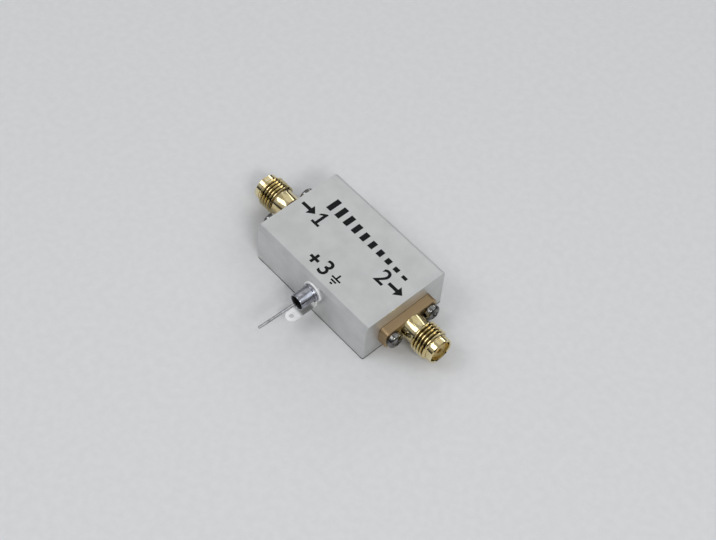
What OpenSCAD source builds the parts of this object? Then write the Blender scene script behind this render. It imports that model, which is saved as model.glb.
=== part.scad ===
// Voltage-controlled RF attenuator: a milled aluminium box with a flanged coaxial jack on each short end
// and a control feed-through with a ground lug on one long side. Millimetres.
// Origin: centre of the underside. +X points to the output jack, -Y to the control side, +Z up.

/* [Case] */
// Length of the case, between the two jack faces
case_l = 30; // [28:0.5:38]
// Width of the case
case_w = 20; // [19:0.5:26]
// Height of the case
case_h = 10; // [9.8:0.2:13]
// Bevel along the two long top edges
edge_bevel = 0.8; // [0.3:0.1:0.9]
// Radius of the four upright edges
upright_r = 0.4; // [0.2:0.1:0.8]
// Thickness of the two end walls, which carry the jacks
end_wall = 3; // [2.8:0.1:3.6]
// Thickness of the two long walls
side_wall = 2; // [1.8:0.1:2.4]
// Thickness of the closed top
roof_t = 1.4; // [1.2:0.1:1.8]
// Side of the square post left in each corner of the pocket
post_w = 3.8; // [3.4:0.1:4.2]
// Radius left by the cutter in the corners of the pocket
cutter_r = 0.8; // [0.5:0.1:1.2]

/* [Lid] */
// Thickness of the lid, which fills a recess in the underside
lid_t = 1.3; // [1.1:0.1:1.6]
// Width of the rim that stays round the lid
lid_rim = 1; // [0.8:0.1:1.2]
// Distance of the lid screws from the outer faces
lid_screw_inset = 3.4; // [3.2:0.1:3.8]
// Thread diameter of the lid screws
lid_screw_d = 1.6; // [1.4:0.1:1.8]
// Head diameter of the lid screws
lid_head_d = 3; // [2.8:0.1:3.2]
// Length of the lid screws
lid_screw_l = 5; // [4:0.5:6]

/* [Circuit board] */
// Thickness of the board
board_t = 0.8; // [0.6:0.1:1]
// Width of the ledge that the board is screwed against
ledge_w = 2.8; // [2.7:0.1:3.2]
// Distance between the board screws along the case
board_screw_pitch = 10; // [9.5:0.5:12]
// Thread diameter of the board screws
board_screw_d = 1.4; // [1.2:0.1:1.6]
// Head diameter of the board screws
board_head_d = 2.5; // [2.2:0.1:2.6]
// Head height of the board screws
board_head_h = 0.9; // [0.7:0.1:1.1]
// Depth that the board screws reach into the ledge
board_screw_grip = 1.7; // [1.2:0.1:1.9]

/* [Coaxial jacks] */
// Height of the jacks' axis above the underside
jack_z = 4.4; // [4.2:0.1:4.8]
// Length of a jack from the end wall to its tip
jack_l = 9.8; // [9.6:0.1:11]
// Distance from the centre of a flange hole to the flange's end
flange_edge = 1.75; // [1.7:0.05:2.4]
// Height of the flange
flange_h = 4.4; // [4.2:0.1:5]
// Thickness of the flange
flange_t = 1.9; // [1.5:0.1:2.1]
// Corner radius of the flange
flange_r = 1; // [0.2:0.1:1.4]
// Diameter of the flange holes
flange_hole_d = 2.3; // [2.2:0.1:2.5]
// Diameter of the smooth neck behind the thread
neck_d = 5.2; // [4.9:0.1:5.4]
// Outer diameter of the thread
thread_d = 6.35; // [6.2:0.05:6.5]
// Length of the thread
thread_l = 3.8; // [3.4:0.1:4.2]
// Length of the chamfer at each end of the thread
thread_chamfer = 0.35; // [0.2:0.05:0.6]
// Length of the smooth ring at the tip
tip_l = 1.4; // [1.2:0.1:1.8]
// Diameter of the smooth ring at the tip
tip_d = 5.4; // [5.3:0.1:5.8]
// Inner diameter of the mouth
mouth_d = 4.6; // [4.4:0.1:4.8]
// Depth of the mouth down to the insulator
mouth_depth = 1.95; // [1.8:0.05:2.2]
// Diameter of the insulator
insulator_d = 4.1; // [3.9:0.05:4.2]
// Diameter of the centre contact
contact_d = 1.27; // [1.2:0.01:1.4]
// Diameter of the socket in the contact
socket_d = 0.94; // [0.9:0.01:1]
// Depth of the socket
socket_depth = 3; // [2.6:0.1:3.6]
// Width of the slots between the contact's four fingers
slot_w = 0.16; // [0.1:0.01:0.18]
// Length of those slots
slot_l = 2; // [1.5:0.1:2.4]
// Diameter of the barb that holds the contact in the insulator
barb_d = 1.7; // [1.5:0.05:2]
// Length of that barb
barb_l = 0.8; // [0.5:0.1:1.2]
// Length of the solder tail that reaches under the board
tail_l = 2; // [1.5:0.1:2.4]

/* [Flange screws] */
// Thread diameter of the flange screws
flange_screw_d = 2; // [1.6:0.1:2.1]
// Depth that the flange screws reach into the end wall
flange_screw_grip = 2.3; // [1.8:0.1:2.4]
// Head diameter of the flange screws
flange_head_d = 3.4; // [3.2:0.1:3.6]
// Head height of the flange screws
flange_head_h = 1.6; // [1.2:0.1:1.8]

/* [Control feed-through] */
// Place of the feed-through along the case
feed_x = 1; // [-2:0.1:2]
// Height of the feed-through's axis above the jacks' axis
feed_rise = 2.2; // [1.9:0.1:2.4]
// Distance from the wall to the rim of the shell
feed_l = 4; // [3.2:0.1:5]
// Diameter of the shell's outer can
can_d = 3.3; // [3.1:0.1:3.5]
// Diameter of the collar that clamps the lug
collar_d = 3.8; // [3.6:0.1:4]
// Thickness of the collar
collar_t = 0.6; // [0.4:0.1:0.8]
// Diameter of the stud that screws into the wall
stud_d = 2.5; // [2.3:0.1:2.6]
// Diameter of the ceramic tube in the shell
tube_d = 1.7; // [1.5:0.1:1.9]
// Thickness of the rim round the seal
rim_t = 0.2; // [0.15:0.05:0.3]
// Depth of the seal inside the rim
seal_depth = 0.8; // [0.5:0.1:1.2]
// Height of the seal's dome in front of the rim
seal_dome = 0.45; // [0.2:0.05:0.6]
// Diameter of the control lead
lead_d = 0.55; // [0.4:0.05:0.65]
// Length of the lead outside the wall
lead_reach = 12.8; // [10:0.2:16]
// Upward tilt of the lead in front of the seal, in degrees
lead_tilt = 3.5; // [1:0.5:6]
// Distance from the wall's inside to the place where the lead turns down
lead_turn = 2.2; // [1.9:0.1:2.5]
// Radius of the lead's bends, on the wire's centre line
lead_bend_r = 0.8; // [0.7:0.1:1]
// Length of the lead's end below the board
lead_end = 0.5; // [0.3:0.1:0.8]

/* [Ground lug] */
// Thickness of the lug's sheet
lug_t = 0.3; // [0.25:0.05:0.4]
// Outer diameter of the ring at the wall
lug_ring_d = 4.4; // [4:0.1:4.6]
// Width of the tab and of its round end
lug_w = 2.4; // [2:0.1:2.6]
// Drop from the feed-through's axis to the tab's upper face
lug_drop = 3.2; // [2.9:0.1:3.4]
// Distance from the wall to the centre of the eyelet
lug_reach = 5.1; // [4.4:0.1:6]
// Diameter of the eyelet
lug_hole_d = 1; // [0.8:0.05:1.3]
// Inner radius of the fold
lug_fold_r = 0.4; // [0.3:0.1:0.6]

/* [Chip parts] */
// Length of a chip capacitor or resistor
chip_l = 1.6; // [1.4:0.1:2]
// Width of a chip
chip_w = 0.8; // [0.6:0.1:1.2]
// Height of a chip
chip_h = 0.8; // [0.4:0.05:1]
// Length of the metal cap on each end of a chip
chip_cap = 0.3; // [0.2:0.05:0.4]
// Length of the diode package
diode_l = 2.9; // [2.6:0.1:3.2]
// Width of the diode package without its leads
diode_w = 1.6; // [1.4:0.1:1.8]
// Height of the diode package
diode_h = 1.1; // [0.9:0.1:1.3]
// Span of the diode package over its leads
diode_span = 2.8; // [2.6:0.1:3]
// Distance between neighbouring leads of the diode package
diode_pitch = 0.95; // [0.9:0.05:1]
// Length of a choke
choke_l = 2; // [1.8:0.1:2.4]
// Width of a choke
choke_w = 1.25; // [1:0.05:1.6]
// Height of a choke
choke_h = 1.2; // [0.8:0.1:1.4]
// Distance from a solder tail to the blocking capacitor next to it
tail_to_chip = 2.2; // [1.5:0.1:2.8]
// Distance of the bypass capacitors from the signal line
bypass_y = 3.8; // [3:0.1:4.4]
// Distance between the bypass capacitors
bypass_pitch = 2; // [1.4:0.1:2.4]
// Distance of the bias resistors from the signal line
resistor_y = 3.6; // [3:0.1:4]
// Distance between the bias resistors
resistor_pitch = 1.8; // [1.4:0.1:2]
// Distance of the chokes from the signal line
choke_y = 3; // [2.6:0.1:3.4]
// Distance of the chokes from the diode package, centre to centre
choke_x = 5.2; // [4.6:0.1:6]

/* [Fits] */
// Gap between a turned piece and the bore that it sits in, on the radius
fit_gap = 0.02; // [0.01:0.005:0.05]
// Gap between the neck of a jack and the heads of its flange screws
neck_gap = 0.3; // [0.2:0.05:0.5]
// Gap round a piece that passes through a clearance hole, on the radius
pass_gap = 0.1; // [0.05:0.05:0.2]
// Gap between the lid and its recess, and between the board and the pocket
drop_in_gap = 0.1; // [0.05:0.05:0.2]
// Depth by which the lid screws' heads lie under the underside
head_sink = 0.1; // [0.05:0.05:0.2]
// Spare depth under the tip of a screw
screw_spare = 0.3; // [0.1:0.1:0.4]

/* [Hidden] */
$fn = 64;

// Overshoot of a cutter past the face that it opens
cut = 0.5;
// The two ends of the case, by the sign of X
input_end = -1;
output_end = 1;
// Pocket inside the walls
pocket_l = case_l - 2 * end_wall;
pocket_w = case_w - 2 * side_wall;
// Board, with its parts on the lower face and the jacks' solder tails against that face
board_z = jack_z + contact_d / 2;
board_top = board_z + board_t;
// Where the lid screws stand
lid_screw_x = case_l / 2 - lid_screw_inset;
lid_screw_y = case_w / 2 - lid_screw_inset;
// Where the board screws stand, in the middle of each ledge
board_screw_x = board_screw_pitch / 2;
board_screw_y = pocket_w / 2 - ledge_w / 2;
// Distance between the two flange holes, which keeps the screw heads clear of the neck
flange_pitch = neck_d + flange_head_d + 2 * neck_gap;
// Length of the flange across the end wall
flange_l = flange_pitch + 2 * flange_edge;
// Stations along a jack, from the end wall outwards
thread_end = jack_l - tip_l;
thread_start = thread_end - thread_l;
insulator_face = jack_l - mouth_depth;
// Chamfer at the tip and round the mouth
tip_chamfer = 0.2;
mouth_chamfer = 0.15;
// The barb sits halfway along the stretch of insulator inside the flange
barb_z = flange_t / 2;
// Feed-through
feed_z = jack_z + feed_rise;
wall_y = -case_w / 2;
inner_y = wall_y + side_wall;
seal_d = can_d - 2 * rim_t;
lead_hole_y = inner_y + lead_turn;
// Slot that frees the lead's turn from the ledge
relief_w = stud_d + 2 * cutter_r;
// Cross recess of the screws, in shares of the head's diameter and height
recess_span = 0.58;
recess_width = 0.14;
recess_depth = 0.5;
// Height of a lid screw's cone, which is cut at 45 degrees
lid_cone_h = (lid_head_d - lid_screw_d) / 2;
// Flat tabs of the diode package
diode_lead_w = 0.4;
diode_lead_t = 0.15;
// How far a chip's body lies inside its metal caps
cap_lift = 0.03;
// Turns of a chip on the board, along the signal line or across it
along = 0;
across = 90;

// Rectangle with round corners, centred
module rounded_rect(l, w, r) {
    square([l - 2 * r, w], center = true);
    square([l, w - 2 * r], center = true);
    for (x = [-1, 1], y = [-1, 1])
        translate([x * (l / 2 - r), y * (w / 2 - r)])
            circle(r);
}

// Copies a child to the four corners of a rectangle round the origin
module at_corners(x, y) {
    for (sx = [-1, 1], sy = [-1, 1])
        translate([sx * x, sy * y])
            children();
}

// Lays a child drawn along +Z on a jack's axis, with z = 0 on the end wall
module on_end(side) {
    translate([side * case_l / 2, 0, jack_z])
        rotate([0, 0, side == output_end ? 0 : 180])
            rotate([0, 90, 0])
                children();
}

// Lays a child drawn along +Z on the feed-through's axis, with z = 0 on the control side's wall
module on_side() {
    translate([feed_x, wall_y, feed_z])
        rotate([90, 0, 0])
            children();
}

// Pan head with a domed top and a cross recess, underside at z = 0
module pan_head(d, h) {
    // The dome's radius puts its edge at half the head's height
    rise = h / 2;
    dome_r = (pow(d / 2, 2) + pow(rise, 2)) / (2 * rise);
    difference() {
        intersection() {
            cylinder(d = d, h = h);
            translate([0, 0, h - dome_r])
                sphere(dome_r);
        }
        translate([0, 0, h])
            cross_recess(d, h * recess_depth);
    }
}

// Cutter for a cross recess, its top at z = 0
module cross_recess(d, depth) {
    for (a = [0, 90])
        rotate([0, 0, a])
            cube([d * recess_span, d * recess_width, 2 * depth], center = true);
}

// Pocket outline less its four posts, drawn in by a gap on every side
module pocket_outline(gap) {
    rounded_rect(pocket_l - 2 * (post_w + gap), pocket_w - 2 * gap, cutter_r);
    rounded_rect(pocket_l - 2 * gap, pocket_w - 2 * (post_w + gap), cutter_r);
}

// Upper pocket outline, which leaves the two ledges
module upper_outline() {
    rounded_rect(pocket_l - 2 * post_w, pocket_w - 2 * ledge_w, cutter_r);
}

module housing() {
    color([0.78, 0.78, 0.77])
    difference() {
        intersection() {
            rotate([90, 0, 90])
                linear_extrude(case_l, center = true)
                    polygon([[-case_w / 2, 0], [case_w / 2, 0],
                             [case_w / 2, case_h - edge_bevel], [case_w / 2 - edge_bevel, case_h],
                             [edge_bevel - case_w / 2, case_h], [-case_w / 2, case_h - edge_bevel]]);
            linear_extrude(case_h)
                rounded_rect(case_l, case_w, upright_r);
        }
        // Recess for the lid
        translate([0, 0, -cut])
            linear_extrude(lid_t + cut)
                rounded_rect(case_l - 2 * lid_rim, case_w - 2 * lid_rim, cutter_r);
        // Pocket up to the ledges, and the narrower pocket above them
        linear_extrude(board_top)
            pocket_outline(0);
        linear_extrude(case_h - roof_t)
            upper_outline();
        // Slot through the ledge for the lead
        translate([feed_x - relief_w / 2, inner_y, board_z])
            cube([relief_w, ledge_w + cutter_r, case_h - roof_t - board_z]);
        // Tapped holes of the lid screws
        at_corners(lid_screw_x, lid_screw_y)
            cylinder(d = lid_screw_d + 2 * fit_gap, h = lid_screw_l + screw_spare);
        // Tapped holes of the board screws
        translate([0, 0, board_top])
            at_corners(board_screw_x, board_screw_y)
                cylinder(d = board_screw_d + 2 * fit_gap, h = 2 * (board_screw_grip + screw_spare),
                         center = true);
        for (side = [input_end, output_end])
            on_end(side) {
                // Way through for the insulator
                translate([0, 0, -end_wall - cut])
                    cylinder(d = insulator_d + 2 * pass_gap, h = end_wall + 2 * cut);
                // Tapped holes of the flange screws
                for (y = [-1, 1])
                    translate([0, y * flange_pitch / 2, -flange_screw_grip - screw_spare])
                        cylinder(d = flange_screw_d + 2 * fit_gap,
                                 h = flange_screw_grip + screw_spare + cut);
            }
        // Tapped hole of the feed-through
        on_side()
            translate([0, 0, -side_wall - cut])
                cylinder(d = stud_d + 2 * fit_gap, h = side_wall + 2 * cut);
    }
}

module bottom_lid() {
    color([0.78, 0.78, 0.77])
    difference() {
        linear_extrude(lid_t)
            rounded_rect(case_l - 2 * (lid_rim + drop_in_gap), case_w - 2 * (lid_rim + drop_in_gap),
                         cutter_r - drop_in_gap);
        at_corners(lid_screw_x, lid_screw_y) {
            translate([0, 0, -cut])
                cylinder(d = lid_screw_d + 2 * pass_gap, h = lid_t + 2 * cut);
            lid_head(fit_gap, cut);
        }
    }
}

// Countersunk head of a lid screw, grown on the radius by a gap and run on past the underside
module lid_head(gap, run_on) {
    translate([0, 0, head_sink])
        cylinder(r1 = lid_head_d / 2 + gap, r2 = lid_screw_d / 2 + gap, h = lid_cone_h);
    if (run_on > 0)
        translate([0, 0, -run_on])
            cylinder(r = lid_head_d / 2 + gap, h = head_sink + run_on);
}

module lid_screws() {
    color([0.72, 0.72, 0.74])
    at_corners(lid_screw_x, lid_screw_y)
        difference() {
            union() {
                lid_head(0, 0);
                translate([0, 0, head_sink])
                    cylinder(d = lid_screw_d, h = lid_screw_l - head_sink);
            }
            translate([0, 0, head_sink])
                cross_recess(lid_head_d, lid_cone_h * recess_depth);
        }
}

module circuit_board() {
    color([0.12, 0.36, 0.2])
    translate([0, 0, board_z])
        difference() {
            linear_extrude(board_t)
                pocket_outline(drop_in_gap);
            at_corners(board_screw_x, board_screw_y)
                translate([0, 0, -cut])
                    cylinder(d = board_screw_d + 2 * pass_gap, h = board_t + 2 * cut);
            translate([feed_x, lead_hole_y, -cut])
                cylinder(d = lead_d + 2 * pass_gap, h = board_t + 2 * cut);
        }
}

module board_screws() {
    color([0.72, 0.72, 0.74])
    translate([0, 0, board_z])
        at_corners(board_screw_x, board_screw_y) {
            rotate([180, 0, 0])
                pan_head(board_head_d, board_head_h);
            cylinder(d = board_screw_d, h = board_t + board_screw_grip);
        }
}

// One-piece jack body: flange, neck, thread and tip ring, bored right through
module jack_body(side) {
    color([0.83, 0.69, 0.36])
    on_end(side)
        difference() {
            union() {
                linear_extrude(flange_t)
                    rounded_rect(flange_h, flange_l, flange_r);
                rotate_extrude()
                    polygon([[0, 0], [neck_d / 2, 0],
                             [neck_d / 2, thread_start], [thread_d / 2, thread_start + thread_chamfer],
                             [thread_d / 2, thread_end - thread_chamfer], [tip_d / 2, thread_end],
                             [tip_d / 2, jack_l - tip_chamfer], [tip_d / 2 - tip_chamfer, jack_l],
                             [0, jack_l]]);
            }
            translate([0, 0, -cut])
                cylinder(d = insulator_d, h = jack_l);
            translate([0, 0, insulator_face])
                cylinder(d = mouth_d, h = mouth_depth + cut);
            translate([0, 0, jack_l - mouth_chamfer])
                cylinder(d1 = mouth_d, d2 = mouth_d + 4 * mouth_chamfer, h = 2 * mouth_chamfer);
            for (y = [-1, 1])
                translate([0, y * flange_pitch / 2, -cut])
                    cylinder(d = flange_hole_d, h = flange_t + 2 * cut);
        }
}

// Outline of the contact, grown on the radius by a gap
module contact_form(gap) {
    translate([0, 0, -end_wall - tail_l])
        cylinder(r = contact_d / 2 + gap, h = end_wall + tail_l + insulator_face);
    translate([0, 0, barb_z])
        cylinder(r1 = contact_d / 2 + gap, r2 = barb_d / 2 + gap, h = barb_l);
}

module jack_insulator(side) {
    color([0.94, 0.94, 0.92])
    on_end(side)
        difference() {
            translate([0, 0, -end_wall])
                cylinder(r = insulator_d / 2 - fit_gap, h = end_wall + insulator_face);
            contact_form(fit_gap);
            translate([0, 0, insulator_face - cut])
                cylinder(r = contact_d / 2 + fit_gap, h = 2 * cut);
        }
}

module jack_contact(side) {
    color([0.86, 0.72, 0.36])
    on_end(side)
        difference() {
            contact_form(0);
            translate([0, 0, insulator_face - socket_depth])
                cylinder(d = socket_d, h = socket_depth + cut);
            for (a = [0, 90])
                rotate([0, 0, a])
                    translate([0, 0, insulator_face - slot_l / 2 + cut / 2])
                        cube([2 * contact_d, slot_w, slot_l + cut], center = true);
        }
}

module flange_screws(side) {
    color([0.76, 0.76, 0.78])
    on_end(side)
        for (y = [-1, 1])
            translate([0, y * flange_pitch / 2, 0]) {
                translate([0, 0, flange_t])
                    pan_head(flange_head_d, flange_head_h);
                translate([0, 0, -flange_screw_grip])
                    cylinder(d = flange_screw_d, h = flange_screw_grip + flange_t);
            }
}

// Turned shell: stud in the wall, collar over the lug's ring, can with a counterbore for the seal
module feedthrough_shell() {
    color([0.8, 0.8, 0.82])
    on_side()
        difference() {
            union() {
                translate([0, 0, -side_wall])
                    cylinder(d = stud_d, h = side_wall + lug_t);
                translate([0, 0, lug_t])
                    cylinder(d = collar_d, h = collar_t);
                translate([0, 0, lug_t])
                    cylinder(d = can_d, h = feed_l - lug_t);
            }
            translate([0, 0, -side_wall - cut])
                cylinder(d = tube_d, h = side_wall + feed_l + cut);
            translate([0, 0, feed_l - seal_depth])
                cylinder(d = seal_d, h = seal_depth + cut);
        }
}

module feedthrough_capacitor() {
    color([0.82, 0.74, 0.6])
    on_side()
        translate([0, 0, -side_wall])
            difference() {
                cylinder(r = tube_d / 2 - fit_gap, h = side_wall + feed_l - seal_depth);
                translate([0, 0, -cut])
                    cylinder(r = lead_d / 2 + fit_gap, h = side_wall + feed_l + cut);
            }
}

// Potting in the counterbore, with a low dome in front of the rim
module feedthrough_seal() {
    color([0.05, 0.05, 0.05])
    on_side()
        difference() {
            union() {
                translate([0, 0, feed_l - seal_depth])
                    cylinder(r = seal_d / 2 - fit_gap, h = seal_depth);
                intersection() {
                    translate([0, 0, feed_l])
                        cylinder(r = seal_d / 2 - fit_gap, h = seal_dome);
                    dome_sphere(seal_d / 2 - fit_gap, seal_dome, feed_l);
                }
            }
            translate([0, 0, -cut])
                cylinder(r = lead_d / 2 + fit_gap, h = feed_l + seal_dome + 2 * cut);
        }
}

// Ball whose cap over the plane z has the given radius and rise
module dome_sphere(r, rise, z) {
    ball_r = (r * r + rise * rise) / (2 * rise);
    translate([0, 0, z + rise - ball_r])
        sphere(ball_r);
}

// Wire through the feed-through: bent up a little in front of the seal, and turned down behind the wall
// into the board
module control_lead() {
    straight_in = lead_turn - lead_bend_r;
    drop = feed_z - lead_bend_r - board_z + lead_end;
    bend_y = feed_l + seal_dome;
    color([0.75, 0.75, 0.77]) {
        on_side() {
            translate([0, 0, -side_wall - straight_in])
                cylinder(d = lead_d, h = side_wall + straight_in + bend_y);
            translate([0, lead_bend_r, bend_y]) {
                rotate([90, 0, -90])
                    lead_bend(lead_tilt);
                rotate([-lead_tilt, 0, 0])
                    translate([0, -lead_bend_r, 0])
                        cylinder(d = lead_d, h = lead_reach - bend_y);
            }
        }
        translate([feed_x, inner_y + straight_in, feed_z - lead_bend_r])
            rotate([90, 0, 90])
                lead_bend(90);
        translate([feed_x, lead_hole_y, feed_z - lead_bend_r - drop])
            cylinder(d = lead_d, h = drop);
    }
}

// Bend of the lead about the Z axis, from the X axis on
module lead_bend(turn) {
    rotate_extrude(angle = turn)
        translate([lead_bend_r, 0])
            circle(d = lead_d);
}

// Lug folded from one strip: ring on the wall, tab down the wall, fold, tab outwards with its eyelet
module ground_lug() {
    tab_z = feed_z - lug_drop;
    fold_outer = lug_fold_r + lug_t;
    color([0.86, 0.86, 0.87])
    difference() {
        union() {
            on_side()
                cylinder(d = lug_ring_d, h = lug_t);
            translate([feed_x - lug_w / 2, wall_y - lug_t, tab_z + lug_fold_r])
                cube([lug_w, lug_t, lug_drop - lug_fold_r]);
            translate([feed_x - lug_w / 2, wall_y - fold_outer, tab_z + lug_fold_r])
                rotate([90, 0, 90])
                    rotate_extrude(angle = -90)
                        translate([lug_fold_r, 0])
                            square([lug_t, lug_w]);
            translate([feed_x, wall_y, tab_z - lug_t])
                linear_extrude(lug_t) {
                    translate([-lug_w / 2, -lug_reach])
                        square([lug_w, lug_reach - fold_outer]);
                    translate([0, -lug_reach])
                        circle(d = lug_w);
                }
        }
        on_side()
            translate([0, 0, -cut])
                cylinder(d = stud_d + 2 * pass_gap, h = lug_t + 2 * cut);
        translate([feed_x, wall_y - lug_reach, tab_z - lug_t - cut])
            cylinder(d = lug_hole_d, h = lug_t + 2 * cut);
    }
}

// Chip with a body and two raised metal caps, standing on the board's lower face
module chip(l, w, h) {
    translate([-l / 2 + chip_cap, -w / 2 + cap_lift, -h + cap_lift])
        cube([l - 2 * chip_cap, w - 2 * cap_lift, h - cap_lift]);
    for (side = [-1, 1])
        translate([side * (l - chip_cap) / 2, 0, -h / 2])
            cube([chip_cap, w, h], center = true);
}

// Places children on the board's lower face
module under_board(x, y, turn) {
    translate([x, y, board_z])
        rotate([0, 0, turn])
            children();
}

module diode_quad() {
    color([0.08, 0.08, 0.09])
    under_board(0, 0, along) {
        translate([-diode_l / 2, -diode_w / 2, -diode_h])
            cube([diode_l, diode_w, diode_h]);
        for (x = [-1, 0, 1], y = [-1, 1])
            // One side of the package has two leads, the other three
            if (!(x == 0 && y == 1))
                translate([x * diode_pitch - diode_lead_w / 2, y > 0 ? 0 : -diode_span / 2, -diode_lead_t])
                    cube([diode_lead_w, diode_span / 2, diode_lead_t]);
    }
}

module blocking_capacitors() {
    color([0.72, 0.6, 0.45])
    for (side = [input_end, output_end])
        under_board(side * (pocket_l / 2 - tail_l - tail_to_chip), 0, along)
            chip(chip_l, chip_w, chip_h);
}

module bypass_capacitors() {
    color([0.66, 0.55, 0.42])
    for (step = [-1:1])
        under_board(step * bypass_pitch, bypass_y, across)
            chip(chip_l, chip_w, chip_h);
}

module bias_resistors() {
    color([0.1, 0.1, 0.11])
    for (step = [-2:2])
        under_board(step * resistor_pitch, -resistor_y, across)
            chip(chip_l, chip_w, chip_h);
}

module rf_chokes() {
    color([0.3, 0.32, 0.36])
    for (side = [input_end, output_end])
        under_board(side * choke_x, choke_y, across)
            chip(choke_l, choke_w, choke_h);
}

housing();
bottom_lid();
lid_screws();
circuit_board();
board_screws();
jack_body(input_end);  // input_jack_body
jack_insulator(input_end);  // input_jack_insulator
jack_contact(input_end);  // input_jack_contact
flange_screws(input_end);  // input_flange_screws
jack_body(output_end);  // output_jack_body
jack_insulator(output_end);  // output_jack_insulator
jack_contact(output_end);  // output_jack_contact
flange_screws(output_end);  // output_flange_screws
feedthrough_shell();
feedthrough_capacitor();
feedthrough_seal();
control_lead();
ground_lug();
diode_quad();
blocking_capacitors();
bypass_capacitors();
bias_resistors();
rf_chokes();
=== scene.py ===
"""Dresses a small coaxial attenuator, a milled box with a gold jack at each end, and lights it.

Shapes are drawn in millimetres in the part's own frame: X runs along the box to the output, -Y is the
side with the control lead, and Z points up from the lid. A finished mesh is turned to metres, with its
place in its points.
"""

import logging
import math
from collections.abc import Callable, Sequence
from dataclasses import dataclass, field
from enum import Enum

import bmesh
import bpy
from mathutils import Matrix, Vector


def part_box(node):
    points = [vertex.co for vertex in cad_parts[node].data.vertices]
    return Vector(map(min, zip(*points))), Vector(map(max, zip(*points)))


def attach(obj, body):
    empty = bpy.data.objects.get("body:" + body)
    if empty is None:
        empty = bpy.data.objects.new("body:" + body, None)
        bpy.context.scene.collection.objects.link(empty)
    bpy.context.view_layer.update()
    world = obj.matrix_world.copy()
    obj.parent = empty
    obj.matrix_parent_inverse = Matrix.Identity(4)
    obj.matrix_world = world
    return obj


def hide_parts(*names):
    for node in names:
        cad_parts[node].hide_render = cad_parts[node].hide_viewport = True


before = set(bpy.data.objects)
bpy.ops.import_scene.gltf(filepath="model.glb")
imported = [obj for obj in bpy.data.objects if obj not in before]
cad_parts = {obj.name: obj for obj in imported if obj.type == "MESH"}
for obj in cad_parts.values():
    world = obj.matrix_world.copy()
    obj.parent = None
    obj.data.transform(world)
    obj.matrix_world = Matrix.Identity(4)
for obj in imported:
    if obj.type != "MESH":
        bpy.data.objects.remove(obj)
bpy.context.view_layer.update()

log = logging.getLogger("attenuator")

MM = 0.001
BODY = "root"
SHARP_ANGLE = math.radians(35)
WELD_MM = 0.002
FLAT_ANGLE = math.radians(0.5)
ROUND_STEPS = 96
GROOVE = "groove"
INCH = 25.4
# Most of a noise's values lie in the first range, nearly all of them in the second
NOISE_CORE = (0.35, 0.65)
NOISE_SPAN = (0.3, 0.7)
# Bands of a wave texture lie this far apart at a scale of 1
WAVE_PERIOD = math.tau / 20
# For a pitch of 1: a 60 degree thread's depth, and where its flank leaves the root and meets the crest
THREAD_DEPTH = 0.6134
ROOT_FLAT = 1 / 8
CREST_FLAT = 7 / 16

BMesh = bmesh.types.BMesh
Loop = list[bmesh.types.BMVert]
Node = bpy.types.Node
Object = bpy.types.Object
Socket = bpy.types.NodeSocket
Tree = bpy.types.NodeTree


class End(Enum):
    """The two ends of the box, by the sign of X."""

    INPUT = -1
    OUTPUT = 1

    @property
    def label(self) -> str:
        """The end's name as the nodes spell it."""
        return self.name.lower()


class Symbol(Enum):
    """The plain signs printed on the top face."""

    ONE = "one"
    ARROW = "arrow"
    PLUS = "plus"
    EARTH = "earth"


def hex_rgb(code: str) -> tuple[float, float, float, float]:
    """Turn an sRGB hex colour into linear light.

    Args:
        code: The colour, as in "#B6B6B4".

    Returns:
        Linear red, green and blue, with an alpha of 1.
    """
    parts = [int(code[i:i + 2], 16) / 255 for i in (1, 3, 5)]
    linear = [p / 12.92 if p <= 0.04045 else ((p + 0.055) / 1.055) ** 2.4 for p in parts]
    return (linear[0], linear[1], linear[2], 1.0)


def per_mm(size: float) -> float:
    """Scale of a pattern whose features are this many millimetres, on coordinates in metres."""
    return 1 / (size * MM)


def wire(tree: Tree, node: Node, inputs: dict) -> None:
    """Link or set a node's inputs.

    Args:
        tree: The tree that holds the node.
        node: The node to feed.
        inputs: Sockets or plain values by input name or number.
    """
    for key, value in inputs.items():
        if isinstance(value, Socket):
            tree.links.new(value, node.inputs[key])
        else:
            node.inputs[key].default_value = value


def add_node(tree: Tree, kind: str, inputs: dict | None = None, **settings: object) -> Node:
    """Add a node with its settings and links.

    Args:
        tree: The tree to add to.
        kind: The node's type.
        inputs: Sockets or plain values by input name or number.
        settings: The node's own properties.

    Returns:
        The new node.
    """
    node = tree.nodes.new(kind)
    for key, value in settings.items():
        setattr(node, key, value)
    wire(tree, node, inputs or {})
    return node


def node_box(name: str) -> tuple[Vector, Vector]:
    """Lowest and highest corners of a node, in millimetres."""
    low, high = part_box(name)
    return Vector(low) / MM, Vector(high) / MM


# Finishes

MADE: dict[str, bpy.types.Material] = {}


@dataclass(frozen=True)
class Finish:
    """How one real material is drawn; each kind says what its surface shows."""

    name: str

    def material(self) -> bpy.types.Material:
        """The finish as a material, made at its first use.

        Returns:
            The material of this name.
        """
        if self.name not in MADE:
            made = bpy.data.materials.new(self.name)
            made.use_nodes = True
            self.dress(made.node_tree, made.node_tree.nodes["Principled BSDF"])
            MADE[self.name] = made
        return MADE[self.name]

    def dress(self, tree: Tree, shader: Node) -> None:
        """Wire the surface into the shader."""
        raise NotImplementedError


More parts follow.
